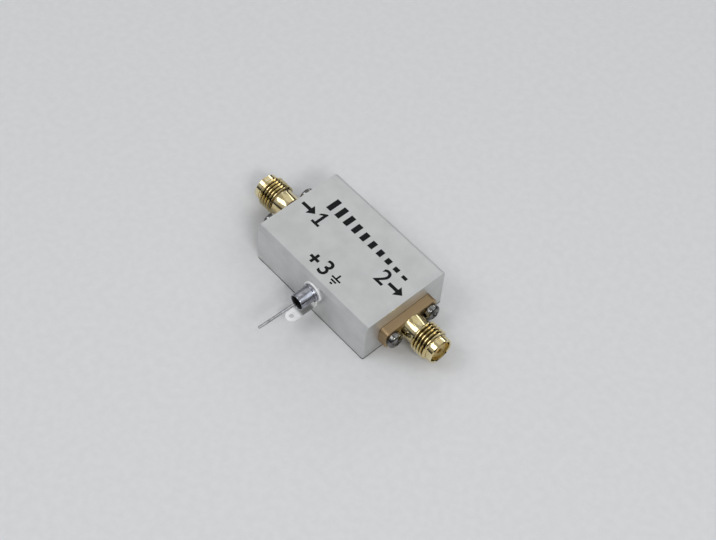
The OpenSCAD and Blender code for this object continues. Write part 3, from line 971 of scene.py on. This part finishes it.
@dataclass
class CrossScrews:
    """A set of equal machine screws with cross recesses: template, places and turns."""

    name: str
    nodes: list[str]
    seed: int
    head_d: float
    shank_d: float
    shank_l: float
    recess_span: float = 0.58
    recess_width: float = 0.15
    recess_taper: float = 0.7
    cutter_spare: float = 0.3
    point_share: float = 0.3
    steps: int = 48

    def head(self) -> list[tuple[float, float]]:
        """Profile of the head from the shank out and over to the axis."""
        raise NotImplementedError

    def recess_floor(self) -> float:
        """Height of the recess's floor over the seat."""
        raise NotImplementedError

    def template(self) -> Object:
        """Make one screw along local Z with its seat at the origin.

        Returns:
            The screw, for the tree to copy.
        """
        bm = bmesh.new()
        radius = self.shank_d / 2
        point = radius * self.point_share
        shank = [(0, -self.shank_l), (radius - point, -self.shank_l), (radius, point - self.shank_l)]
        lathe(bm, shank + self.head(), steps=self.steps)
        screw = finish_mesh(self.name + "_template", bm, SCREW_STEEL, Matrix.Scale(1 / MM, 4))
        for turn in (0, 90):
            self.cut_wing(screw, math.radians(turn))
        return screw

    def cut_wing(self, screw: Object, turn: float) -> None:
        """Cut one wing of the cross out of the head.

        Args:
            screw: The screw to cut.
            turn: The wing's direction.
        """
        floor = self.recess_floor()
        top = max(height for _, height in self.head()) + self.cutter_spare
        length, width = self.head_d * self.recess_span, self.head_d * self.recess_width
        bm = bmesh.new()
        loops = []
        for height, share in ((floor, self.recess_taper), (top, 1.0)):
            half = (length * share / 2, width * share / 2)
            corners = [(half[0], half[1]), (-half[0], half[1]), (-half[0], -half[1]), (half[0], -half[1])]
            loops.append([bm.verts.new((x, y, height)) for x, y in corners])
        skin(bm, loops)
        bm.faces.new(loops[0])
        bm.faces.new(loops[1])
        place = Matrix.Rotation(turn, 4, "Z") @ Matrix.Scale(1 / MM, 4)
        cutter = finish_mesh("wing_cutter", bm, SCREW_STEEL, place)
        cut = screw.modifiers.new("recess", "BOOLEAN")
        cut.object = cutter
        cut.solver = "EXACT"
        screw.data = plain_mesh(screw)
        screw.modifiers.clear()
        bpy.data.objects.remove(cutter)

    def places(self) -> tuple[list[Vector], Matrix]:
        """The seats in a frame of their own, and that frame."""
        raise NotImplementedError

    def build(self) -> None:
        """Set the screws and dress them."""
        template = self.template()
        points, place = self.places()
        mesh = bpy.data.meshes.new(self.name + "_places")
        mesh.from_pydata(points, [], [])
        values = {"Screw": template, "Seed": self.seed, "Material": SCREW_STEEL.material()}
        bm = grow(screw_tree(), values, mesh)
        bpy.data.objects.remove(template)
        settle(finish_mesh(self.name, bm, SCREW_STEEL, place), self.nodes)


@dataclass
class PanScrews(CrossScrews):
    """The two pan-head screws that hold a jack's flange."""

    end: End = End.OUTPUT
    head_h: float = 1.574
    rim_share: float = 0.5
    rim_round: float = 0.12
    floor_share: float = 0.45
    crown_steps: int = 10

    @classmethod
    def of(cls, end: End) -> "PanScrews":
        """The screws of one end.

        Args:
            end: Which end.

        Returns:
            The set of two.
        """
        return cls(name=end.label + "_pan_screws", nodes=[end.label + "_flange_screws"],
                   seed=7 + end.value, head_d=3.4, shank_d=2.0, shank_l=4.2, end=end)

    def head(self) -> list[tuple[float, float]]:
        """Profile of the pan head: a short rim, a rounded shoulder and a low crown.

        Returns:
            Radius and height of each point.
        """
        radius = self.head_d / 2
        rim = self.head_h * self.rim_share
        rise = self.head_h - rim
        turns = [math.pi / 2 * i / self.crown_steps for i in range(1, self.crown_steps)]
        crown = [(radius * math.cos(t), rim + rise * math.sin(t)) for t in turns]
        foot = arc((radius - self.rim_round, self.rim_round), self.rim_round, -90, 0, steps=3)
        return [(self.shank_d / 2, 0)] + foot + [(radius, rim)] + crown + [(0, self.head_h)]

    def recess_floor(self) -> float:
        """Height of the recess's floor over the seat."""
        return self.head_h * self.floor_share

    def places(self) -> tuple[list[Vector], Matrix]:
        """The two seats on the flange's face.

        Returns:
            The seats in the end's own frame, and that frame.
        """
        low, high = node_box(self.nodes[0])
        half_pitch = (high.y - low.y - self.head_d) / 2
        seat = max(abs(low.x), abs(high.x)) - self.head_h
        matrix = end_frame(self.end, seat, (low.z + high.z) / 2)
        return [Vector((0, -half_pitch, 0)), Vector((0, half_pitch, 0))], matrix


@dataclass
class LidScrews(CrossScrews):
    """The four countersunk screws of the cover, heads down."""

    lip: float = 0.1
    recess_depth: float = 0.45

    @classmethod
    def of(cls) -> "LidScrews":
        """The screws of the cover, as long as their node."""
        low, high = node_box("lid_screws")
        return cls(name="lid_countersunk_screws", nodes=["lid_screws"], seed=3, head_d=3.0, shank_d=1.6,
                   shank_l=high.z - low.z)

    def head(self) -> list[tuple[float, float]]:
        """Profile of the countersunk head, which ends level with its seat at the origin.

        Returns:
            Radius and height of each point.
        """
        radius = self.head_d / 2
        cone = radius - self.shank_d / 2
        return [(self.shank_d / 2, -cone - self.lip), (radius, -self.lip), (radius, -self.lip / 3),
                (radius - self.lip / 2, 0), (0, 0)]

    def recess_floor(self) -> float:
        """Height of the recess's floor under the head's face."""
        return -self.recess_depth

    def places(self) -> tuple[list[Vector], Matrix]:
        """The four heads, seen from below.

        Returns:
            The seats in a frame that looks down, and that frame.
        """
        low, high = node_box("lid_screws")
        x, y = high.x - self.head_d / 2, high.y - self.head_d / 2
        matrix = Matrix.Translation((0, 0, low.z)) @ Matrix.Rotation(math.pi, 4, "X")
        return [Vector((sx * x, sy * y, 0)) for sx in (-1, 1) for sy in (-1, 1)], matrix


def end_frame(end: End, reach: float, height: float) -> Matrix:
    """Frame of a piece on an end wall: local Z points out of the box, local X down.

    Args:
        end: Which end.
        reach: Distance of its origin from the middle of the box.
        height: Height of its axis.

    Returns:
        The frame as a matrix.
    """
    turn = 0.0 if end is End.OUTPUT else math.pi
    out = Matrix.Rotation(turn, 4, "Z") @ Matrix.Rotation(math.pi / 2, 4, "Y")
    return Matrix.Translation((end.value * reach, 0, height)) @ out


@dataclass
class CoaxialJack:
    """A coaxial jack turned from one piece: flange, neck, thread, smooth tip and stepped bore."""

    end: End
    flange_h: float = 4.4
    flange_t: float = 1.9
    flange_r: float = 1.0
    flange_break: float = 0.08
    hole_d: float = 2.3
    hole_edge: float = 1.75
    hole_steps: int = 32
    neck_d: float = 5.2
    neck_fillet: float = 0.12
    thread_start: float = 4.6
    thread_l: float = 3.8
    thread_chamfer: float = 0.35
    threads_per_inch: int = 36
    tip_d: float = 5.4
    relief_depth: float = 0.14
    relief_l: float = 0.22
    relief_slope: float = 0.03
    tip_chamfer: float = 0.2
    mouth_d: float = 4.6
    mouth_depth: float = 1.95
    mouth_chamfer: float = 0.15
    bore_d: float = 4.1
    rows_per_pitch: int = 16

    def __post_init__(self) -> None:
        """Read the jack's outer sizes from its node."""
        low, high = node_box(self.end.label + "_jack_body")
        self.wall = min(abs(low.x), abs(high.x))
        self.length = high.x - low.x
        self.axis_z = (low.z + high.z) / 2
        self.thread_d = high.z - low.z
        self.flange_l = high.y - low.y
        self.pitch = INCH / self.threads_per_inch

    def thread(self) -> BMesh:
        """Cut the thread from its start to its end.

        Returns:
            The threaded skin, open at both ends.
        """
        start, end = self.thread_start, self.thread_start + self.thread_l
        # Two spare turns, one at each end, cover the shear of the sheet
        turns = 2 * math.ceil((self.thread_l / self.pitch + 2) / 2)
        depth = THREAD_DEPTH * self.pitch
        return grow(thread_tree(), {
            "Pitch": self.pitch, "Travel": turns * self.pitch, "Rows": turns * self.rows_per_pitch + 1,
            "Columns": ROUND_STEPS + 1, "Middle": (start + end) / 2, "Start": start, "End": end,
            "Full from": start + self.thread_chamfer, "Full to": end - self.thread_chamfer,
            "Start radius": self.neck_d / 2, "End radius": self.tip_d / 2,
            "Root radius": self.thread_d / 2 - depth, "Depth": depth,
            "Root flat": ROOT_FLAT, "Crest flat": CREST_FLAT, "Material": JACK_GOLD.material()})

    def add_flange(self, bm: BMesh, neck_foot: Loop, bore_back: Loop) -> None:
        """Add the flange with its broken edges and its two holes.

        Args:
            bm: The jack's mesh.
            neck_foot: The loop where the neck leaves the front face.
            bore_back: The loop where the bore opens in the back face.
        """
        edge = self.flange_break
        outlines = []
        for height, inset in ((0, edge), (edge, 0), (self.flange_t - edge, 0), (self.flange_t, edge)):
            size = (self.flange_h - 2 * inset, self.flange_l - 2 * inset)
            outlines.append(rounded_plate(bm, size, self.flange_r - inset, height))
        skin(bm, outlines)
        backs, fronts = [], []
        for side in (-1, 1):
            shift = Vector((0, side * (self.flange_l / 2 - self.hole_edge), 0))
            rings = [ring(bm, self.hole_d / 2, height, self.hole_steps) for height in (0, self.flange_t)]
            for point in rings[0] + rings[1]:
                point.co += shift
            skin(bm, rings)
            backs.append(rings[0])
            fronts.append(rings[1])
        fill_flat(bm, [outlines[0], bore_back] + backs)
        fill_flat(bm, [outlines[-1], neck_foot] + fronts)

    def build(self) -> None:
        """Make the body, dress it, and dress the insulator and the contact."""
        bm = self.thread()
        neck, tip, end = self.neck_d / 2, self.tip_d / 2, self.thread_start + self.thread_l
        mouth, bore, length = self.mouth_d / 2, self.bore_d / 2, self.length
        round_r = self.neck_fillet
        fillet = arc((neck + round_r, self.flange_t + round_r), round_r, 270, 180, steps=4)
        neck_loops = [ring(bm, r, z) for r, z in fillet + [(neck, self.thread_start)]]
        skin(bm, neck_loops)
        relief, slope, relief_end = tip - self.relief_depth, self.relief_slope, end + self.relief_l
        nose = [(tip, end), (relief, end + slope), (relief, relief_end - slope), (tip, relief_end),
                (tip, length - self.tip_chamfer), (tip - self.tip_chamfer, length),
                (mouth + self.mouth_chamfer, length), (mouth, length - self.mouth_chamfer),
                (mouth, length - self.mouth_depth), (bore, length - self.mouth_depth), (bore, 0)]
        nose_loops = [ring(bm, r, z) for r, z in nose]
        skin(bm, nose_loops)
        self.add_flange(bm, neck_loops[0], nose_loops[-1])
        place = end_frame(self.end, self.wall, self.axis_z)
        name = self.end.label + "_jack"
        settle(finish_mesh(name, bm, JACK_GOLD, place), [name + "_body"])
        dress_node(name + "_insulator", WHITE_DIELECTRIC)
        dress_node(name + "_contact", CONTACT_GOLD)


@dataclass
class FeedThrough:
    """The control entry: tinned capacitor can, potted end, wire lead and folded earth lug."""

    can_d: float = 3.3
    collar_d: float = 3.8
    collar_t: float = 0.6
    stud_d: float = 2.5
    lug_t: float = 0.3
    tube_d: float = 1.7
    rim_t: float = 0.2
    rim_round: float = 0.09
    seal_depth: float = 0.8
    seal_gap: float = 0.02
    seal_dome: float = 0.45
    dome_steps: int = 12
    meniscus: float = 0.07
    creep_from: float = 0.75
    lead_d: float = 0.55
    lead_tilt: float = 3.5
    lead_bend_r: float = 0.8
    lead_sides: int = 24
    lug_break: float = 0.08
    turn_steps: int = 72

    def __post_init__(self) -> None:
        """Read the places from the nodes."""
        low, high = node_box("feedthrough_shell")
        self.axis_x = (low.x + high.x) / 2
        self.axis_z = (low.z + high.z) / 2
        self.wall_y = node_box("housing")[0].y
        self.inner_y = high.y
        self.reach = self.wall_y - low.y
        turn = Matrix.Rotation(math.pi / 2, 4, "X")
        self.place = Matrix.Translation((self.axis_x, self.wall_y, self.axis_z)) @ turn

    def build(self) -> None:
        """Make every piece of the entry and dress it."""
        self.build_can()
        self.build_seal()
        self.build_lead()
        lug = softened_copy("ground_lug", "earth_lug", TINNED_SHEET, ((self.lug_break, every_edge),))
        settle(lug, ["ground_lug"])
        dress_node("feedthrough_capacitor", TUBE_CERAMIC)

    def build_can(self) -> None:
        """Turn the can with its stud, collar and rolled rim."""
        can, collar, round_r = self.can_d / 2, self.collar_d / 2, self.rim_round
        seat, shoulder, inner = self.lug_t, self.lug_t + self.collar_t, can - self.rim_t
        end, back = self.reach, self.wall_y - self.inner_y
        profile = [(self.tube_d / 2, back), (self.stud_d / 2, back), (self.stud_d / 2, seat)]
        profile += arc((collar - round_r, seat + round_r), round_r, -90, 0, steps=3)
        profile += arc((collar - 2 * round_r, shoulder - 2 * round_r), 2 * round_r, 0, 90, steps=4)
        profile += [(can, shoulder)]
        profile += arc((can - round_r, end - round_r), round_r, 0, 180)
        profile += [(inner, end - self.seal_depth), (self.tube_d / 2, end - self.seal_depth)]
        bm = bmesh.new()
        lathe(bm, profile, closed=True, steps=self.turn_steps)
        can_piece = finish_mesh("feed_can", bm, TINNED_BRASS, self.place)
        settle(can_piece, ["feedthrough_shell"])

    def build_seal(self) -> None:
        """Pour the seal: a low dome that creeps up the wire."""
        edge = self.can_d / 2 - self.rim_t - self.seal_gap
        hole = self.lead_d / 2 + self.seal_gap
        rest = self.reach - self.meniscus
        dome = []
        for i in range(self.dome_steps + 1):
            share = i / self.dome_steps
            radius = edge + (hole - edge) * share
            creep = self.meniscus * max(0.0, share - self.creep_from) / (1 - self.creep_from)
            dome.append((radius, rest + self.seal_dome * (1 - (radius / edge) ** 2) + creep))
        foot = self.reach - self.seal_depth
        bm = bmesh.new()
        lathe(bm, [(hole, foot), (edge, foot)] + dome, closed=True, steps=self.turn_steps)
        settle(finish_mesh("feed_seal", bm, BLACK_EPOXY, self.place), ["feedthrough_seal"])

    def lead_path(self) -> list[Vector]:
        """Middle line of the wire: up from the board, out through the can, then bent up a little.

        Returns:
            The points in order.
        """
        low, high = node_box("control_lead")
        bend, half = self.lead_bend_r, self.lead_d / 2
        board_y = high.y - half
        points = [(board_y, low.z), *arc((board_y - bend, self.axis_z - bend), bend, 0, 90, steps=10)]
        tilt_y = self.wall_y - self.reach - self.seal_dome
        points += arc((tilt_y, self.axis_z + bend), bend, 270, 270 - self.lead_tilt, steps=4)
        tilt = math.radians(self.lead_tilt)
        last = points[-1]
        run = (last[0] - low.y - half * math.sin(tilt)) / math.cos(tilt)
        points.append((last[0] - run * math.cos(tilt), last[1] + run * math.sin(tilt)))
        return [Vector((self.axis_x, y, z)) for y, z in points]

    def build_lead(self) -> None:
        """Draw the wire along its path."""
        points = self.lead_path()
        path = bpy.data.meshes.new("lead_path")
        path.from_pydata(points, [(i, i + 1) for i in range(len(points) - 1)], [])
        bm = grow(wire_tree(), {"Radius": self.lead_d / 2, "Sides": self.lead_sides,
                                "Material": TINNED_WIRE.material()}, path)
        settle(finish_mesh("lead_wire", bm, TINNED_WIRE), ["control_lead"])


@dataclass
class TopMarks:
    """Plain printed signs on the top: numbered ports with arrows, a falling level, the control's signs.

    The numeral one is measured in strokes. The earth sign's step counts in its bars, and its shares are
    those of its width.
    """

    film: float = 0.012
    sink: float = 0.004
    numeral_h: float = 3.4
    numeral_weight: float = 0.06
    numeral_steps: int = 6
    figure_share: float = 0.7
    stroke: float = 0.62
    one_foot: float = 1.6
    one_bar: float = 0.85
    one_flag: float = 1.3
    port_x: float = 8.6
    port_y: float = 0.1
    arrow_x: float = 12.0
    arrow_l: float = 3.6
    arrow_h: float = 2.4
    arrow_neck: float = 0.36
    stem_h: float = 0.7
    row_x: float = -9.5
    row_y: float = 4.2
    bar_count: int = 10
    bar_w: float = 1.2
    bar_h: float = 3.0
    bar_spacing: float = 2.3
    bar_fall: float = 0.085
    control_y: float = -6.6
    sign_h: float = 2.2
    sign_w: float = 0.6
    plus_x: float = -2.6
    earth_x: float = 3.4
    earth_bar: float = 0.36
    earth_foot: float = 0.1
    earth_step: float = 1.75
    earth_shares: tuple[float, float] = (0.62, 0.26)

    def __post_init__(self) -> None:
        """Read the height of the top face."""
        self.top = node_box("housing")[1].z

    def add_film(self, bm: BMesh, outline: Sequence[tuple[float, float]]) -> None:
        """Lay a thin patch of ink.

        Args:
            bm: The mesh to add to.
            outline: The patch's corners in order.
        """
        loops = [[bm.verts.new((x, y, z)) for x, y in outline] for z in (-self.sink, self.film)]
        skin(bm, loops)
        bm.faces.new(loops[0])
        bm.faces.new(loops[1])

    def outlines(self, symbol: Symbol) -> list[list[tuple[float, float]]]:
        """Outlines of a sign round its own middle.

        Args:
            symbol: Which sign.

        Returns:
            One outline for each patch of ink.
        """
        if symbol is Symbol.ONE:
            top, stem = self.numeral_h / 2, self.stroke / 2
            foot, bar = self.one_foot * self.stroke, self.one_bar * self.stroke
            flag, base = top - self.one_flag * self.stroke, bar - top
            return [[(-foot, -top), (foot, -top), (foot, base), (stem, base), (stem, top), (0, top),
                     (-foot, flag), (-foot, flag - bar), (-stem, flag), (-stem, base), (-foot, base)]]
        if symbol is Symbol.ARROW:
            tip, neck = self.arrow_l / 2, self.arrow_neck
            half, stem = self.arrow_h / 2, self.stem_h / 2
            return [[(-tip, -stem), (neck, -stem), (neck, -half), (tip, 0), (neck, half), (neck, stem),
                     (-tip, stem)]]
        half, thin = self.sign_h / 2, self.sign_w / 2
        if symbol is Symbol.PLUS:
            return [[(-half, -thin), (-thin, -thin), (-thin, -half), (thin, -half), (thin, -thin),
                     (half, -thin), (half, thin), (thin, thin), (thin, half), (-thin, half),
                     (-thin, thin), (-half, thin)]]
        bar, foot = self.earth_bar, self.earth_foot
        stem = bar / 2
        patches = [[(-half, foot - bar), (half, foot - bar), (half, foot), (stem, foot), (stem, half),
                    (-stem, half), (-stem, foot), (-half, foot)]]
        for step, share in enumerate(self.earth_shares, start=1):
            low = foot - bar - step * self.earth_step * bar
            wide = half * share
            patches.append([(-wide, low), (wide, low), (wide, low + bar), (-wide, low + bar)])
        return patches

    def add_symbol(self, bm: BMesh, symbol: Symbol, x: float, y: float) -> None:
        """Print a sign at a place on the top face."""
        for outline in self.outlines(symbol):
            self.add_film(bm, [(x + px, y + py) for px, py in outline])

    def add_numeral(self, bm: BMesh, numeral: str, x: float, y: float) -> None:
        """Print a plain numeral.

        Args:
            bm: The mesh to add to.
            numeral: The figure.
            x: Its middle along the box.
            y: Its middle across the box.
        """
        curve = bpy.data.curves.new("numeral", "FONT")
        curve.body = numeral
        curve.size = self.numeral_h / self.figure_share
        curve.align_x = "CENTER"
        curve.align_y = "CENTER"
        curve.offset = self.numeral_weight
        curve.extrude = (self.film + self.sink) / 2
        curve.resolution_u = self.numeral_steps
        obj = put_in_scene("numeral", curve)
        mesh = plain_mesh(obj)
        bpy.data.objects.remove(obj)
        mesh.transform(Matrix.Translation((x, y, (self.film - self.sink) / 2)))
        bm.from_mesh(mesh)
        bpy.data.meshes.remove(mesh)

    def build(self) -> None:
        """Print the signs and the row of bars."""
        place = Matrix.Translation((0, 0, self.top))
        bm = bmesh.new()
        self.add_symbol(bm, Symbol.ONE, -self.port_x, self.port_y)
        self.add_numeral(bm, "2", self.port_x, self.port_y)
        for end in End:
            self.add_symbol(bm, Symbol.ARROW, end.value * self.arrow_x, self.port_y)
        self.add_symbol(bm, Symbol.PLUS, self.plus_x, self.control_y)
        self.add_numeral(bm, "3", (self.plus_x + self.earth_x) / 2, self.control_y)
        self.add_symbol(bm, Symbol.EARTH, self.earth_x, self.control_y)
        settle(finish_mesh("port_marks", bm, PRINT_INK, place))
        settle(self.build_row())

    def build_row(self) -> Object:
        """Print the row of bars that fall from the input to the output.

        Returns:
            The row's object.
        """
        bar = bmesh.new()
        half = self.bar_w / 2
        self.add_film(bar, [(-half, 0), (half, 0), (half, self.bar_h), (-half, self.bar_h)])
        mesh = bpy.data.meshes.new("bar")
        bar.to_mesh(mesh)
        bar.free()
        values = {"Count": self.bar_count, "Spacing": self.bar_spacing, "Fall": self.bar_fall,
                  "Material": PRINT_INK.material()}
        row = grow(bar_tree(), values, mesh)
        place = Matrix.Translation((self.row_x, self.row_y - self.bar_h / 2, self.top))
        return finish_mesh("level_marks", row, PRINT_INK, place)


@dataclass(frozen=True)
class Circuit:
    """What the box holds: board, its screws and the parts on it, which keep their solids."""

    finishes: tuple[tuple[str, Finish], ...] = (
        ("circuit_board", LAMINATE), ("board_screws", SCREW_STEEL), ("diode_quad", MOULDED_PACKAGE),
        ("blocking_capacitors", CHIP_CERAMIC), ("bypass_capacitors", CHIP_CERAMIC),
        ("bias_resistors", CHIP_RESISTOR), ("rf_chokes", CHOKE_FERRITE))

    def build(self) -> None:
        """Dress every inner node."""
        for node, finish in self.finishes:
            dress_node(node, finish)


# Studio


@dataclass(frozen=True)
class SoftBox:
    """A soft area light that looks at the part."""

    name: str
    place: tuple[float, float, float]
    size: tuple[float, float]
    power: float
    colour: str = "#FFFFFF"

    def build(self) -> None:
        """Hang the light."""
        light = bpy.data.lights.new(self.name, "AREA")
        light.shape = "RECTANGLE"
        light.size, light.size_y = self.size
        light.energy = self.power
        light.color = hex_rgb(self.colour)[:3]
        lamp = put_in_scene(self.name, light)
        lamp.location = self.place
        lamp.rotation_euler = (-Vector(self.place)).to_track_quat("-Z", "Y").to_euler()
        lamp.visible_camera = False


@dataclass(frozen=True)
class Studio:
    """Pale paper floor, soft boxes and a room that is bright above and dim near the horizon."""

    floor_half: float = 1.5
    floor_cells: int = 40
    sky: str = "#ACADAE"
    horizon: str = "#171513"
    dim_band: tuple[float, float] = (0.12, 0.44)
    room_strength: float = 1.06
    lights: tuple[SoftBox, ...] = (
        SoftBox("key_window", (0.4, -0.16, 0.43), (0.2, 0.12), 1.05),
        SoftBox("cool_window", (0.3, 0.24, 0.447), (0.42, 0.42), 0.42, "#E6EDF8"),
        SoftBox("front_softbox", (-0.198, -0.26, 0.44), (0.3, 0.24), 0.72, "#F1F4FA"),
        SoftBox("back_softbox", (-0.253, 0.43, 0.236), (0.3, 0.12), 0.26),
        SoftBox("ceiling_softbox", (-0.28, 0.29, 0.575), (0.5, 0.5), 0.25),
    )

    def build(self) -> None:
        """Lay the floor, light the room and hang the lights."""
        bm = bmesh.new()
        bmesh.ops.create_grid(bm, x_segments=self.floor_cells, y_segments=self.floor_cells,
                              size=self.floor_half / MM)
        floor = finish_mesh("floor", bm, STUDIO_PAPER)
        world = bpy.data.worlds.new("room")
        world.use_nodes = True
        tree = world.node_tree
        look = add_node(tree, "ShaderNodeTexCoord").outputs["Generated"]
        height = add_node(tree, "ShaderNodeSeparateXYZ", {0: look}).outputs[2]
        share = add_node(tree, "ShaderNodeMapRange",
                         {"Value": height, "From Min": self.dim_band[0], "From Max": self.dim_band[1]},
                         interpolation_type="SMOOTHSTEP").outputs[0]
        air = add_node(tree, "ShaderNodeMix", {0: share, 6: hex_rgb(self.horizon), 7: hex_rgb(self.sky)},
                       data_type="RGBA").outputs[2]
        wire(tree, tree.nodes["Background"], {"Color": air, "Strength": self.room_strength})
        bpy.context.scene.world = world
        bpy.context.scene.view_settings.view_transform = "Standard"
        for light in self.lights:
            light.build()


@dataclass(frozen=True)
class PhotoCamera:
    """The photograph's camera: where it stands, how it is tilted and how long its lens is."""

    aim: tuple[float, float, float] = (2.029, 0.243, 5.0)
    azimuth: float = 44.0
    elevation: float = 55.307
    roll: float = 5.04
    distance: float = 261.47
    focal_px: float = 1400
    image_w_px: int = 716
    sensor: float = 36.0
    clip: float = 10.0

    def build(self) -> None:
        """Set the camera up and make it the scene's."""
        az, el = math.radians(self.azimuth), math.radians(self.elevation)
        back = Vector((math.sin(az) * math.cos(el), -math.cos(az) * math.cos(el), math.sin(el)))
        level = Vector((math.cos(az), math.sin(az), 0))
        right = Matrix.Rotation(-math.radians(self.roll), 3, -back) @ level
        up = back.cross(right)
        data = bpy.data.cameras.new("photo_camera")
        data.sensor_width = self.sensor
        data.lens = self.focal_px * self.sensor / self.image_w_px
        data.clip_start = self.clip * MM
        camera = put_in_scene("photo_camera", data)
        eye = (Vector(self.aim) + self.distance * back) * MM
        turn = Matrix((right, up, back)).transposed().to_4x4()
        camera.matrix_world = Matrix.Translation(eye) @ turn
        bpy.context.scene.camera = camera


def main() -> None:
    """Build the part's pieces in order, then the studio around them."""
    logging.basicConfig(level=logging.INFO, format="%(name)s: %(message)s")
    Case().build()
    LidScrews.of().build()
    for end in End:
        CoaxialJack(end).build()
        PanScrews.of(end).build()
    FeedThrough().build()
    Circuit().build()
    TopMarks().build()
    Studio().build()
    PhotoCamera().build()


if __name__ == "__main__":
    main()
